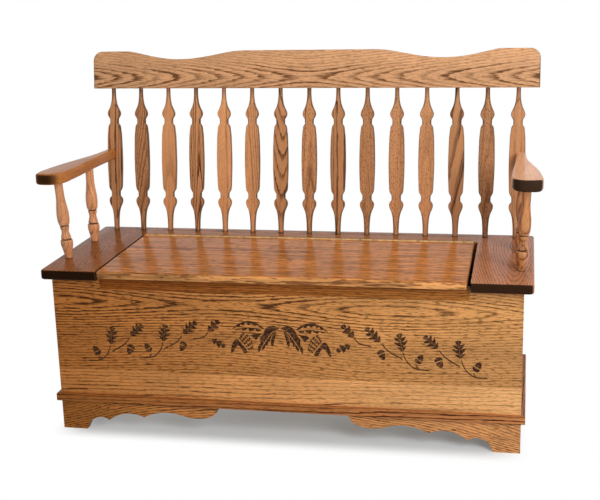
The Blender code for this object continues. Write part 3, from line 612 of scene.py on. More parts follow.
def board(low, high, squareSides, corner):
    shape = boardShape
    bm = bmesh.new()
    cube(bm, low, high)
    walls = {"-x": (0, low[0]), "+x": (0, high[0]), "-y": (1, low[1]), "+y": (1, high[1])}
    planes = [walls[side] for side in squareSides]

    def free(edge):
        return not any(all(abs(v.co[axis] - at) < 1e-5 for v in edge.verts)
                       for axis, at in planes)

    def level(edge):
        return abs(edge.verts[0].co.z - edge.verts[1].co.z) < 1e-5

    bevel(bm, [edge for edge in bm.edges if free(edge) and not level(edge)], corner * mm,
          shape["cornerSteps"])
    bevel(bm, [edge for edge in bm.edges if free(edge) and level(edge)], shape["round"] * mm,
          shape["roundSteps"])
    return bm


postShape = {
    "profile": [(0, 9.4), (18, 11.7), (30, 14.2), (39, 15.9), (48, 15.6), (50.5, 14.6, 1),
                (52.5, 11.0, 1), (54.5, 13.2, 1), (58, 13.0), (68, 10.3), (75, 9.6), (84, 11.9),
                (87, 11.9, 1), (89, 10.2, 1), (91, 12.9, 1), (97, 14.6), (107, 15.7), (118, 15.9),
                (130, 15.2), (144, 13.3), (158, 11.6), (172, 10.9)],
    # foot and head beyond the outermost spindle, and back from the seat's front edge
    "front": ((18.0, 119.1), (27.5, 108.0)), "rear": ((14.0, 293.1), (17.0, 298.1)),
    "below": 16, "above": 12,       # of the tenons in the seat and in the arm
}
# in metres
socketShape = {"deep": 0.0163, "over": 0.012, "spindle": 0.0076, "post": 0.0097,
               "armDeep": 0.0123, "armPost": 0.0112}
armThick = 28.0
postAxes = {}
for side, sign in bothSides:
    for end in ("front", "rear"):
        foot, head = postShape[end]
        low = Vector((sign * (outermost + foot[0] * mm), seatFront + foot[1] * mm, seatTop))
        headY = seatFront + head[1] * mm
        under = (armPlace.translation.z - sin(armTilt) / cos(armTilt)
                 * (headY - armPlace.translation.y) - armThick * mm / cos(armTilt))
        postAxes[side, end] = low, Vector((sign * (outermost + head[0] * mm), headY, under))


def seatHoles(lowX, highX):
    # sockets of spindles and posts in the seat between two places
    bm = bmesh.new()
    deep, over = socketShape["deep"], socketShape["over"]
    for x in spindleXs:
        if lowX < x < highX:
            rod(bm, backPlace @ Vector((x, 0.0, -deep)), backPlace @ Vector((x, 0.0, over)),
                socketShape["spindle"])
    for low, high in postAxes.values():
        if lowX < low.x < highX:
            way = (high - low).normalized()
            rod(bm, low - way * deep, low + way * over, socketShape["post"])
    return bm


seatOak = {"dark": (0.15, 0.048, 0.013), "rough": 0.16, "gloss": 0.03, "bump": 0.06,
           "warp": 0.014, "contrast": 0.8, "flecks": 0.45}
endOak = {**seatOak, "dark": (0.09, 0.028, 0.010), "grain": "yxz", "heart": (0.02, 0.02),
          "bow": 0.12, "apex": 0.1, "warpLong": 4.0}
endBoards = (
    ("left", leftBoard, ["+x"], -0.53,
     {"light": (0.37, 0.135, 0.045), "contrast": 0.9, "end": (0.003, 0.0012, 0.0003),
      "seed": 1.0}),
    # the right board's lighter, bluer colour is painted sheen beside the left board's darker tone
    ("right", rightBoard, ["-x"], 0.54,
     {"light": (0.535, 0.235, 0.127), "contrast": 0.65, "ring": 0.0063, "solid": 0.7,
      "ragged": 0.4, "flecks": 0.3, "wiggle": 0.0014, "warp": 0.022, "warpWide": 14.0,
      "seed": 2.0}),
)
for side, box, sides, centre, own in endBoards:
    wood = oak(side + "_seat_oak", origin=(centre, 0.0, seatTop), **{**endOak, **own})
    piece = place(board(*box, sides, boardShape["corner"]), side + "_end_board", "bench",
                  [side + "_seat_board"], wood)
    piece.data.materials.append(stainAndGapShade(side + "_gap_shade"))
    inner = box[1].x if side == "left" else box[0].x
    for face in piece.data.polygons:        # the side that stands in the narrow gap by the lid takes the dark stain as painted shade
        if abs(face.center.x - inner) < 1e-5:
            face.material_index = 1
    carveOut(piece, seatHoles(box[0].x, box[1].x))

stripOak = oak("seat_back_strip_oak", grain="xyz", origin=(0.0, 0.17, seatTop), seed=5.0,
               heart=(0.02, 0.05), light=(0.46, 0.18, 0.062), **seatOak)
strip = place(board(*backStrip, ["-x", "+x", "-y"], boardShape["corner"]), "back_seat_strip",
              "bench", ["seat_back_strip"], stripOak)
carveOut(strip, seatHoles(backStrip[0].x, backStrip[1].x))

lidShape = {"corner": 6.0, "arris": 1.3}
# painted sheen: side shading with a pale, bluish tone lightens the lid's front and back edges
lidOak = oak("lid_oak", grain="xyz", origin=(0.0, -0.06, seatTop), seed=8.0, heart=(0.05, 0.035),
             taper=0.012, rim=1.0, rimTone=(0.92, 1.12, 1.50),
             **{**seatOak, "light": (0.63, 0.246, 0.067), "endMask": 0.6, "contrast": 0.9,
                "ring": 0.009, "ragged": 1.2, "solid": 0.15, "breakLong": 16.0, "breakWide": 130.0,
                "streak": (7.0, 110.0, 0.35), "cloud": 0.16, "flecks": 0.8, "fleckLong": 42.0,
                "fleckWide": 230.0, "dark": (0.20, 0.065, 0.018)})
bm = board(*lidBox, ["+y"], lidShape["corner"])
trim(bm, (0.0, lidBox[1].y - lidShape["arris"] * mm, lidBox[1].z), (0, 1, 1))
place(bm, "seat_lid", "lid", ["lid"], lidOak)
print("seat boards and lid made")


armShape = {
    "round": 6.0, "back": (-3.0, 22.5),
    # beyond the outermost spindle, and back from the arm's front end
    "outline": [(-3.0, 320), (-5.0, 215), (-9.0, 95), (-3.0, 22), (12.0, 4.0), (37.0, 0.0),
                (56.0, 6.0), (63.5, 28), (62.0, 90), (54.0, 165), (40.0, 245), (28.0, 320)],
    "setback": 38.1, "curveSteps": 14, "roundSteps": 5,
    # in metres: how far up the back's slope the blank ends, and its cut before the back's plane
    "behind": 0.399, "gap": 0.0083,
}


def armBlank(sign):
    shape = armShape
    middle = (seatFront + seatBack) / 2
    front = seatFront + shape["setback"] * mm - middle
    back = backPlace.translation.y - middle + shape["behind"] * sin(recline)
    inner, outer = (outermost + out * mm for out in shape["back"])
    points = [(outermost + out * mm, front + along * mm) for out, along in shape["outline"]]
    points = [(inner, back), *points, (outer, back)]
    curve = bpy.data.curves.new("arm_outline", "CURVE")
    curve.dimensions = "2D"
    curve.fill_mode = "FRONT"
    curve.resolution_u = shape["curveSteps"]
    spline = curve.splines.new("BEZIER")
    spline.bezier_points.add(len(points) - 1)
    for number, (point, (x, y)) in enumerate(zip(spline.bezier_points, points)):
        point.co = (sign * x, y, 0.0)
        kind = "VECTOR" if number in (0, len(points) - 1) else "AUTO"
        point.handle_left_type = point.handle_right_type = kind
    spline.use_cyclic_u = True
    outline = newObject("arm_outline", curve)
    mesh = finalMesh(outline)
    bpy.data.objects.remove(outline, do_unlink=True)
    bm = bmesh.new()
    bm.from_mesh(mesh)
    weld(bm)
    bmesh.ops.dissolve_limit(bm, angle_limit=0.002, verts=[], edges=bm.edges)
    thicken(bm, bm.faces[:], (0.0, 0.0, -armThick * mm))
    roundRims(bm, 2, shape["round"] * mm, shape["roundSteps"])
    move(bm, armPlace)
    face = backPlace @ Vector((0.0, -shape["gap"], 0.0))
    trim(bm, face, backPlace.to_3x3() @ Vector((0, 1, 0)))
    return bm


# the right arm's lighter, paler colour with faint grain is painted sheen and painted light from
# the right; the left arm keeps the wood's darker tone
armOaksWithPaintedLight = {
    "left": {"light": (0.55, 0.215, 0.061), "contrast": 0.4, "flecks": 0.2,
             "endFrom": (0.35, 1.05)},
    "right": {"light": (0.87, 0.475, 0.29), "contrast": 0.15, "flecks": 0.06,
              "end": (0.004, 0.0016, 0.0006), "endFrom": (0.03, 0.22),
              "endReach": (-0.158, -0.174)},
}
# lit and shaded copies: the left posts' lighter colour is painted highlight, the right posts'
# darker colour painted shade
postOaksWithPaintedLight = {"left": {"light": (0.84, 0.40, 0.195), "contrast": 0.6},
            "right": {"light": (0.54, 0.24, 0.094), "contrast": 1.3}}
for side, sign in bothSides:
    wood = oak(side + "_arm_oak", dark=(0.24, 0.09, 0.035), grain="yxz",
               origin=(sign * 0.585, *armFrame["origin"][1:]), tilt=armFrame["tilt"],
               heart=(0.01, -0.05), ring=0.005, taper=0.02, warpLong=4.0,
               seed=20.0 + sign, rough=0.2, gloss=0.03, bump=0.06, **armOaksWithPaintedLight[side])
    arm = place(armBlank(sign), side + "_paddle_arm", "bench", [side + "_arm"], wood)
    sockets = bmesh.new()
    for end in ("front", "rear"):
        low, high = postAxes[side, end]
        way = (high - low).normalized()
        rod(sockets, high - way * socketShape["over"], high + way * socketShape["armDeep"],
            socketShape["armPost"])
        profile = postShape["profile"]
        foot, neck = profile[0][1], profile[-1][1]
        bm = turned([(-postShape["below"], foot), (0, foot, 1)] + profile[1:]
                    + [((high - low).length / mm + postShape["above"], neck)])
        move(bm, Matrix.Translation(low) @ aimed(way))
        # painted shade rings: darker where the post meets the seat and in its two grooves
        wood = oak("%s_%s_post_oak" % (side, end), **postOaksWithPaintedLight[side],
                   dark=(0.20, 0.07, 0.025), grain="zxy", origin=tuple(low), ring=0.0055,
                   heart=(0.004, 0.014), warp=0.008, warpLong=7.0, warpWide=30.0, taper=0.03,
                   seed=30.0 + sign + 3 * (end == "rear"), rough=0.2, gloss=0.24,
                   bump=0.08, flecks=0.2, fleckLong=100.0, endMask=0.0,
                   rings=((0.0, 0.004, 0.8), (0.0525, 0.0028, 0.8), (0.089, 0.0028, 0.8)))
        place(bm, "%s_%s_turned_post" % (side, end), "bench", ["%s_%s_post" % (side, end)],
              wood)
    carveOut(arm, sockets)
print("arms and posts made")


wall, glueGap = 0.019, 0.0003
skirtShape = {
    "steps": 12,
    # from the foot inwards: distance from the corner, height, rise of the arc that leads there
    "front": [(64.5, 0.0, 0.0), (75.5, 23.0, 0.0), (84.5, 28.2, 1.0), (126.5, 27.5, 7.0),
              (221.5, 40.5, 13.8), (324.5, 50.5, 10.5), (381.5, 46.2, -3.5),
              (414.5, 62.5, -3.0), (423.5, 79.2, 1.0)],
    "side": [(64.5, 0.0, 0.0), (75.5, 23.0, 0.0), (84.5, 28.2, 1.0), (126.5, 30.0, 7.0),
             (170.0, 79.2, -9.0)],
    "back": [(64.5, 0.0, 0.0), (75.5, 23.0, 0.0), (126.5, 60.0, -8.0)],
}


def arcTo(bm, vert, end, rise):
    # carries the outline on to a point, straight or along an arc; returns the last vertex
    start, end = vert.co.copy(), Vector(end)
    if not rise:
        last = bm.verts.new(end)
        bm.edges.new((vert, last))
        return last
    along = end - start
    half = along.length / 2
    radius = (half ** 2 + rise ** 2) / (2 * abs(rise))
    upwards = Vector((along.z, 0.0, -along.x)).normalized() * (1 if rise > 0 else -1)
    centre = (start + end) / 2 - upwards * (radius - abs(rise))
    angle = 2 * asin(half / radius)
    turn = (start - centre).cross(end - centre).y
    made = bmesh.ops.spin(bm, geom=[vert], cent=centre, axis=(0, 1, 0),
                          angle=angle if turn > 0 else -angle, steps=skirtShape["steps"])
    return next(part for part in made["geom_last"] if isinstance(part, bmesh.types.BMVert))


def skirt(scroll, half, top, shorten=0.0):
    # a board across X whose lower edge follows the scroll on both sides, centred on Y = 0
    bm = bmesh.new()
    first = bm.verts.new((half, 0.0, top))
    foot = bm.verts.new((half, 0.0, 0.0))
    bm.edges.new((first, foot))
    last = foot
    for inward, height, rise in scroll:
        last = arcTo(bm, last, (half + shorten - inward * mm, 0.0, height * mm), rise * mm)
    bmesh.ops.mirror(bm, geom=bm.verts[:] + bm.edges[:], axis="X", merge_dist=0.0)
    ends = [vert for vert in bm.verts if len(vert.link_edges) == 1]
    for upper in (True, False):     # closes the outline along the top and between the scrolls
        bm.edges.new([vert for vert in ends if (abs(vert.co.z - top) < 1e-6) == upper])
    bmesh.ops.contextual_create(bm, geom=bm.edges[:])
    thicken(bm, bm.faces[:], (0.0, wall, 0.0))
    bmesh.ops.translate(bm, vec=(0.0, -wall / 2, 0.0), verts=bm.verts)
    bmesh.ops.recalc_face_normals(bm, faces=bm.faces)
    return bm


frontToneAndShade = (0.30, 0.55, 0.90)     # the front is darker and redder on the left, partly the boards' tone and partly painted shade for the light from the right
# the skirts' drift along the grain is partly tone, partly painted shade
skirtOak = {"light": (0.61, 0.265, 0.087), "dark": (0.055, 0.016, 0.004), "ring": 0.0072,
            "warp": 0.045, "warpLong": 3.0, "solid": 0.6, "ragged": 0.8, "sag": -0.27,
            "contrast": 1.0, "drift": (0.60, 0.80, 1.25), "endMask": 0.5,
            "clouds": ((0.60, 0.12, 0.0, 0.10, 0.83), (-0.30, 0.26, 0.05, 0.04, 1.2))}
skirts = (("front_skirt", "front", 0, 40.0), ("back_skirt", "back", 0, 41.0),
          ("left_skirt", "side", 90, 42.0), ("right_skirt", "side", 90, 43.0))
for node, scroll, turn, seed in skirts:
    low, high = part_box(node)
    middle = (low + high) / 2
    half = (high.y - low.y) / 2 if turn else (high.x - low.x) / 2
    bm = skirt(skirtShape[scroll], half, high.z, -(wall + glueGap) if turn else 0.0)
    move(bm, turnedTo((middle.x, middle.y, 0.0), radians(turn), "Z"))
    wood = oak(node + "_oak", grain="yzx" if turn else "xzy", origin=(middle.x, middle.y, 0.03),
               heart=(0.20, 0.02), seed=seed, **skirtOak)
    place(bm, "scroll_" + node, "bench", [node], wood)
print("skirts made")

mouldingShape = {"top": 3.0, "bottom": 1.0, "steps": 4, "mitreInset": 0.0096}


def moulding(low, high, axis, sign, mitres):
    # a strip with a rounded outer top edge, cut at mitre planes
    bm = bmesh.new()
    cube(bm, low, high)
    outer = high[axis] if sign > 0 else low[axis]
    for level, radius in ((high[2], mouldingShape["top"]), (low[2], mouldingShape["bottom"])):
        edges = [edge for edge in bm.edges
                 if all(abs(v.co.z - level) < 1e-6 and abs(v.co[axis] - outer) < 1e-6
                        for v in edge.verts)]
        bevel(bm, edges, radius * mm, mouldingShape["steps"])
    for point, normal in mitres:
        trim(bm, point, normal)
    return bm


mouldingOak = {"dark": (0.060, 0.016, 0.004), "ring": 0.0055,
               "solid": 0.6, "gloss": 0.07, "heart": (0.02, 0.03), "taper": 0.012, "endMask": 0.0}
low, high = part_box("front_moulding")
halfGap = glueGap / sqrt(2)
corner = high.x - mouldingShape["mitreInset"]
mitres = [((side * corner, high.y - halfGap, 0.0), (side, 1, 0)) for side in (-1, 1)]
# the front moulding's drift is partly tone, partly painted shade darker on the left
wood = oak("front_moulding_oak", origin=tuple((low + high) / 2), seed=50.0,
           drift=(0.28, 0.40, 0.72), light=(0.445, 0.170, 0.053), **mouldingOak)
place(moulding(low, high, 1, -1, mitres), "rounded_front_moulding", "bench", ["front_moulding"],
      wood)
frontY = high.y
for side, sign in bothSides:
    low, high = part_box(side + "_moulding")
    inner = low.x if sign > 0 else high.x
    mitre = ((inner, frontY + halfGap, 0.0), (-sign, -1, 0))
    wood = oak(side + "_moulding_oak", grain="yzx", origin=tuple((low + high) / 2),
               seed=51.0 + sign, light=(0.42, 0.17, 0.075), **mouldingOak)
    place(moulding(low, high, 0, sign, [mitre]), "rounded_%s_moulding" % side, "bench",
          [side + "_moulding"], wood)
print("mouldings made")


panelOak = {"light": (0.60, 0.265, 0.081), "dark": (0.085, 0.028, 0.006)}
carving = {
    "depth": 1.1, "proud": 0.6, "stemWide": 3.7, "rib": 0.4, "squareSides": 8, "ovalSides": 28,
    # right half in mm from the middle and over the floor; the left half mirrors it
    "leaves": [((183.6, 281), (153, 312), 12.0, 3), ((175.5, 260.6), (139, 242), 10.0, 3),
               ((248, 272), (212, 306), 14.0, 4), ((302, 250), (293.2, 296), 15.5, 4),
               ((387, 261), (353, 292), 14.0, 4), ((441, 236.6), (434.4, 284), 15.5, 4)],
    # base, tip, width, lobes, bend and which halves of the large leaves in the middle
    "largeLeaves": [((44, 291), (117, 290), 9.0, 4, 5.0, (-1,))],
    "blobs": [[(39, 293), (50, 303), (64, 310), (81, 313), (98, 308), (111, 300), (121, 289),
               (108, 297), (104, 295), (98, 303), (92, 300), (86, 307), (78, 301), (72, 306),
               (63, 299), (58, 303), (50, 296)],
              # a drooping leaf in the middle: its upper side, lower side and inner lobe
              [(1, 296), (10, 301), (20, 303), (32, 298), (40.5, 287), (43, 279), (51, 268),
               (50, 257), (57, 246), (55, 231), (48.5, 244), (40, 259), (31, 272), (20, 286),
               (11, 292)],
              [(12, 289.5), (20, 283), (30, 270), (39, 256.5), (46.5, 244), (45, 239), (40, 243),
               (37, 251), (32, 250), (30, 260), (25.5, 262), (23, 272)],
              [(9, 289), (12.5, 286.5), (20, 275), (23, 264), (24, 254), (20, 249), (16, 257),
               (14, 268)],
              # a small leaf beside the large acorn, and the acorn's nut
              [(73, 275), (66, 279.5), (55, 281), (43, 283), (51, 276.5), (56, 270), (61.5, 263),
               (65, 267)],
              [(84, 231), (89, 242), (97, 250), (110, 265), (118, 259), (124, 246), (127, 228),
               (120, 231), (115, 241), (108, 248), (100, 241), (93, 228)]],
    "cup": (((80.5, 234.5), (105.5, 268), (68.5, 238), (97, 285)), (-8, 7), 4, 5),
    "acorns": [((245.4, 253), (256.8, 226)), ((335.5, 219), (350.3, 243)),
               ((384.4, 240.5), (396, 211.5)), ((473.4, 204.8), (489.3, 230))],
    "stems": [[(183.6, 280), (190, 271), (199, 264.3), (227.4, 258.8)],
              [(250.7, 269), (262, 254), (276.2, 243.4), (304.4, 228.5)],
              [(302, 249), (309.5, 228.7), (327.3, 209.3), (345, 205), (368, 203.8)],
              [(389, 257), (400, 243), (413.3, 232.6), (442, 215.3)],
              [(441.5, 235.5), (453.4, 209.1), (470.9, 194), (487, 190.5), (507, 190.1)],
              [(335, 217), (337, 211), (340, 207)], [(473, 203), (474, 197), (477, 193)]],
    # cup and nut of a small acorn in shares of its length: half width, how much the tip narrows,
    # middle, rise of the upper half and its power, drop of the lower half
    "ovals": [(0.34, 0.0, 0.42, -0.34, 0.8, 0.03), (0.29, 0.35, 0.48, 0.52, 1.0, 0.01)],
}


def pocket(bm, side, count, where):
    # a closed outline of count points, sunk into the panel's front; where gives the point at a
    # share of the way around, for the right half
    made = bmesh.ops.create_circle(bm, cap_ends=True, segments=count, radius=1.0)["verts"]
    ring = sorted(made, key=lambda v: atan2(v.co.y, v.co.x) % (2 * pi))
    front = panelBox[0].y
    for number, vert in enumerate(ring):
        point = where(number / count)
        vert.co = (side * point.x * mm, front - carving["proud"] * mm, point.y * mm)
    thicken(bm, [made[0].link_faces[0]], (0.0, (carving["proud"] + carving["depth"]) * mm, 0.0))


def through(points, u):
    # a smooth curve through four points, a share u of the way from the second to the third
    p0, p1, p2, p3 = points
    return 0.5 * (2 * p1 + (p2 - p0) * u + (2 * p0 - 5 * p1 + 4 * p2 - p3) * u * u
                  + (3 * p1 - p0 - 3 * p2 + p3) * u ** 3)


def leaf(bm, side, base, tip, wide, lobes, bend=0.0, halves=(-1, 1)):
    # halves with lobes that lean forward, and the midrib left standing between them
    base, tip = Vector(base), Vector(tip)
    along = tip - base
    across = Vector((-along.y, along.x)).normalized()
    for half in halves:
        def edge(share):
            outer = share < 0.5
            s = share * 2 if outer else 2 - share * 2
            tooth = abs(sin(pi * lobes * s)) ** 1.2
            reach = wide * sin(pi * min(1.0, 0.96 * s + 0.02) ** 0.75) ** 0.8
            reach = reach * (0.20 + 0.90 * tooth) if outer else 0.0
            out = carving["rib"] / 2 + reach
            point = base + along * s + along.normalized() * 0.5 * reach * tooth
            return point + across * (out * half + bend * sin(pi * s))
        pocket(bm, side, 16 * lobes, edge)


def blob(bm, side, points):
    # a closed smooth outline through the points
    points = [Vector(point) for point in points]
    count = len(points)

    def edge(share):
        k = int(share * count)
        u = share * count - k
        return through([points[(k + step) % count] for step in (-1, 0, 1, 2)], u)
    pocket(bm, side, 4 * count, edge)


def stem(bm, side, points):
    # a thin tapered groove along the points
    points = [Vector(point) for point in points]
    count = 6 * (len(points) - 1)

    def at(t):
        spot = min(t * (len(points) - 1), len(points) - 1.0001)
        k = int(spot)
        p1, p2 = points[k], points[k + 1]
        p0 = points[k - 1] if k else 2 * p1 - p2
        p3 = points[k + 2] if k + 2 < len(points) else 2 * p2 - p1
        return through((p0, p1, p2, p3), spot - k)

    def edge(share):
        there = share < 0.5
        t = share * 2 if there else 2 - share * 2
        t = min(max(t, 0.0), 1.0)
        way = (at(min(t + 0.01, 1.0)) - at(max(t - 0.01, 0.0))).normalized()
        wide = carving["stemWide"] / 2 * (0.65 + 0.35 * t)
        return at(t) + Vector((-way.y, way.x)) * wide * (1 if there else -1)
    pocket(bm, side, 2 * count, edge)


def acorn(bm, side, capEnd, tip):
    # a small acorn: the cup and the nut, with a bare line between them
    capEnd, tip = Vector(capEnd), Vector(tip)
    along = tip - capEnd
    length = along.length
    way = along.normalized()
    across = Vector((-way.y, way.x))

    for wide, narrow, middle, rise, power, drop in carving["ovals"]:
        def oval(share):
            out, up = cos(share * 2 * pi), sin(share * 2 * pi)
            x = out * length * wide * (1 - narrow * max(up, 0.0) ** 3)
            y = length * (middle + (rise * up ** power if up > 0 else drop * up))
            return capEnd + way * y + across * x
        pocket(bm, side, carving["ovalSides"], oval)


def scaledCup(bm, side, corners, bulge, rows, columns):
    # the scales of a large acorn's cup, between four corners and out to a bulge
    low0, high0, low1, high1 = (Vector(corner) for corner in corners)
    for row in range(rows):
        for column in range(columns):
            def square(share):
                walk = share * 4 % 1.0
                x, y = ((walk, 0.0), (1.0, walk), (1 - walk, 1.0), (0.0, 1 - walk))[int(share * 4)]
                u, v = (column + 0.18 + 0.64 * x) / columns, (row + 0.10 + 0.80 * y) / rows
                point = low0.lerp(high0, u).lerp(low1.lerp(high1, u), v)
                return point + Vector(bulge) * 4 * u * (1 - u) * v
            pocket(bm, side, carving["squareSides"], square)


cutter = bmesh.new()
for side in (-1, 1):
    for look in carving["leaves"]:
        leaf(cutter, side, *look)
    for ends in carving["acorns"]:
        acorn(cutter, side, *ends)
    for points in carving["stems"]:
        stem(cutter, side, points)
    for look in carving["largeLeaves"]:
        leaf(cutter, side, *look)
    for points in carving["blobs"]:
        blob(cutter, side, points)
    scaledCup(cutter, side, *carving["cup"])

bm = nodeMesh("front_panel")
bmesh.ops.dissolve_limit(bm, angle_limit=0.02, verts=bm.verts, edges=bm.edges)
lowerBoard = {"heart": (-0.255, 0.020), "ring": 0.0085, "band": 0.4, "taper": -0.025,
              "wave": (0.0, 0.3, 0.0), "contrast": 0.9, "solid": 0.6, "seed": 12.0, "flecks": 0.45,
              "light": (0.68, 0.325, 0.116), "fade": (0.06, 0.65),
              "clouds": ((0.0, 0.30, -0.225, 0.20, 1.15),)}
# the panel's third cloud darkens its top on the right: painted shadow under the seat
wood = oak("front_panel_oak", origin=(0.0, panelBox[0].y, 0.350), heart=(0.0, 0.018), ring=0.0068,
           wave=(0.010, 0.90, -0.62), warp=0.016, warpLong=2.0, warpWide=7.0, solid=0.55,
           ragged=0.8, fade=(0.10, 0.65), clearer=-0.6, flecks=0.72, fleckLong=60.0,
           fleckWide=420.0, seed=11.0, endMask=0.5, joint=(-0.182, lowerBoard), drift=frontToneAndShade,
           clouds=((0.62, 0.50, -0.125, 0.10, 0.77), (0.10, 0.70, -0.050, 0.030, 1.09),
                   (0.50, 0.40, 0.060, 0.050, 0.85)), **panelOak)
panelSharp = 8      # degrees, for the carving's fine edges
panel = place(bm, "carved_front_panel", "bench", ["front_panel"], wood, panelSharp)
carveOut(panel, cutter, stainAndGapShade("carving_stain"), panelSharp, True)
print("carved panel made:", len(panel.data.polygons), "faces")


def dress(nodes, material):
    for node in nodes:
        obj = frame["nodes"][node]
        if not obj.material_slots:
            obj.data.materials.append(material)
        for slot in obj.material_slots:
            slot.material = material


def boxOak(node, grain, kind=oak, **look):
    low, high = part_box(node)
    dress([node], kind(node + "_oak", grain=grain, origin=tuple((low + high) / 2), **look))


boxOak("front_top_strip", "xzy", light=(0.34, 0.115, 0.023), dark=(0.09, 0.028, 0.006), gloss=0.06,
       ring=0.0042, heart=(0.03, 0.02), warp=0.008, contrast=1.0, flecks=0.8, fleckLong=40.0,
       fleckWide=450.0, streak=(9.0, 300.0, 0.25), drift=frontToneAndShade, seed=12.0)
boxOak("back_panel", "xzy", heart=(0.06, 0.03), bow=0.03, seed=13.0, endMask=0.4, **panelOak)
for side, seed in (("left", 14.0), ("right", 15.0)):
    boxOak(side + "_side_panel", "yzx", heart=(0.05, 0.03), bow=0.05, seed=seed, endMask=0.4,
           **panelOak)
boxOak("bottom_panel", "xyz", plainWood, seed=16.0)
for number, node in enumerate(("front_cleat", "back_cleat", "hinge_rail")):
    boxOak(node, "xzy", plainWood, seed=17.0 + number)
for number, node in enumerate(("left_lid_batten", "right_lid_batten")):
    boxOak(node, "yxz", plainWood, seed=21.0 + number)
for number, node in enumerate(("front_left", "front_right", "back_left", "back_right")):
    boxOak(node + "_corner_block", "zxy", plainWood, seed=24.0 + number)

brass = metal("hinge_brass", (0.95, 0.74, 0.40), 0.32, 0.25, 0.65)
steel = metal("pin_steel", (0.55, 0.53, 0.50), 0.3, 0.2)
# painted shade: dark brass for the upper half of the fine knuckles
shadedBrass = metal("hinge_shade", (0.20, 0.12, 0.05), 0.5, 0.2)
hingeShape = {"knuckles": 60, "radius": 1.1, "play": 0.4, "neck": 0.9, "sides": 14,
              "neckFrom": 0.0004, "neckTo": 0.0006, "shadeFrom": 0.1}


def hingeLeaf(node, own):
    # the plate with its screw holes, and every second of many fine knuckles over it
    shape = hingeShape
    low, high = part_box(node)
    spot = frame["joints"][0]["pos_m"]
    bm = nodeMesh(node)
    trim(bm, (0.0, 0.0, seatTop), (0, 0, 1))
    plate = sorted(abs(vert.co.y - spot[1]) for vert in bm.verts)
    side = 1 if sum(vert.co.y for vert in bm.verts) / len(bm.verts) > spot[1] else -1
    pitch = (high.x - low.x) / shape["knuckles"]
    for number in range(own, shape["knuckles"], 2):
        start = low.x + number * pitch + shape["play"] / 2 * mm
        end = start + pitch - shape["play"] * mm
        rod(bm, (start, spot[1], spot[2]), (end, spot[1], spot[2]), shape["radius"] * mm,
            shape["sides"])
        ys = sorted(spot[1] + side * reach for reach in (plate[0], shape["neck"] * mm))
        cube(bm, (start, ys[0], seatTop - shape["neckFrom"]),
             (end, ys[1], spot[2] - shape["neckTo"]))
    for face in bm.faces:       # painted shade: faces above the axis take the dark brass, only the lower half stays bright
        level = spot[2] + shape["shadeFrom"] * mm
        face.material_index = int(face.calc_center_median().z > level)
    return bm


for node, body, own in (("hinge_fixed_leaf", "bench", 0), ("hinge_lid_leaf", "lid", 1)):
    leafPiece = place(hingeLeaf(node, own), "fine_" + node, body, [node], brass)
    leafPiece.data.materials.append(shadedBrass)
dress(["%s_leaf_screw_%d" % (leaf, n) for leaf in ("fixed", "lid") for n in (1, 2, 3)], brass)
dress(["hinge_pin", "left_arm_screw", "right_arm_screw"], steel)
print("CAD nodes dressed")


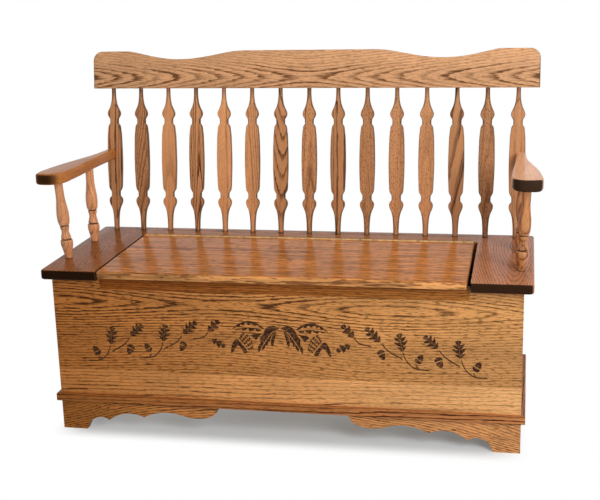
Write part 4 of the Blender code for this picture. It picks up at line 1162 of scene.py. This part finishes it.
def floorMaterial():
    # pale floor that keeps the soft shadow under the bench and is plain white away from it; under
    # the bench a share of white glow is painted light that lifts the shadow, more towards the back
    # and on the left
    material, tree, shader = newMaterial("floor_paint")
    x, y = objectAxes(tree, 2)
    beside = x.maths("MAXIMUM", x, -0.01 - x).step(0.50, 0.61)
    before = (y + 0.02).size().step(0.21, 0.277)
    # painted light: shadowKept is the share of real shading left; the rest is white glow, more at
    # the back and on the left
    shadowKept = y.step(-0.22, 0.06, 0.86, 0.70) * x.step(-0.50, 0.0, 0.86, 1.0)
    glow = Wire.node(tree, "ShaderNodeEmission", None, {"Color": (1.0, 1.0, 1.0, 1.0),
                                                        "Strength": 1.0})
    paint = Wire.node(tree, "ShaderNodeBsdfDiffuse", None, {"Color": (0.80, 0.90, 1.0, 1.0)})
    factor = seenRays(tree) * (1.0 - (1.0 - beside) * (1.0 - before) * shadowKept)
    mix = Wire.node(tree, "ShaderNodeMixShader", None, {0: factor, 1: paint, 2: glow})
    feed(tree, tree.nodes["Material Output"], {"Surface": mix})
    tree.nodes.remove(shader)
    return material


bm = bmesh.new()
bmesh.ops.create_grid(bm, x_segments=1, y_segments=1, size=40.0)
floor = newObject("floor", meshOf(bm, "floor"))
floor.data.materials.append(floorMaterial())

world = bpy.data.worlds.new("studio")
scene.world = world
world.use_nodes = True
tree = world.node_tree
sky = blendColours(tree, seenRays(tree), (0.18, 0.145, 0.11), (1.0, 1.0, 1.0))
feed(tree, tree.nodes["Background"], {"Color": sky})

lamps = {
    # place, aim, width, height, power, colour
    "key": ((1.5, -1.9, 1.5), (0.0, 0.0, 0.35), 1.2, 1.2, 44.0, (1.0, 0.97, 0.92)),
    "fill": ((-2.4, -2.8, 1.8), (0.0, 0.0, 0.3), 2.0, 2.0, 7.0, (1.0, 0.85, 0.68)),
    "top": ((0.2, -0.4, 3.2), (0.0, 0.0, 0.3), 2.6, 1.6, 24.0, (1.0, 0.95, 0.88)),
}
for name, (spot, aim, wide, tall, power, colour) in lamps.items():
    data = bpy.data.lights.new(name, "AREA")
    data.shape = "RECTANGLE"
    data.size, data.size_y, data.energy, data.color = wide, tall, power, colour
    lamp = newObject(name, data)
    lamp.location = spot
    lamp.rotation_euler = (Vector(aim) - Vector(spot)).to_track_quat("-Z", "Y").to_euler()

cameraShape = {"spot": (0.5814, -2.82542, 1.1973), "yaw": 11.4609, "pitch": 14.8214,
               "roll": -1.5209, "lens": 68.357, "sensor": 36.0}
cameraData = bpy.data.cameras.new("camera")
cameraData.sensor_fit = "HORIZONTAL"
cameraData.sensor_width = cameraShape["sensor"]
cameraData.lens = cameraShape["lens"]
camera = newObject("camera", cameraData)
camera.matrix_world = (turnedTo(cameraShape["spot"], radians(cameraShape["yaw"]), "Z")
                       @ Matrix.Rotation(radians(90 - cameraShape["pitch"]), 4, "X")
                       @ Matrix.Rotation(radians(cameraShape["roll"]), 4, "Z"))
scene.camera = camera
scene.view_settings.view_transform = "Standard"
print("floor, lamps and camera placed")
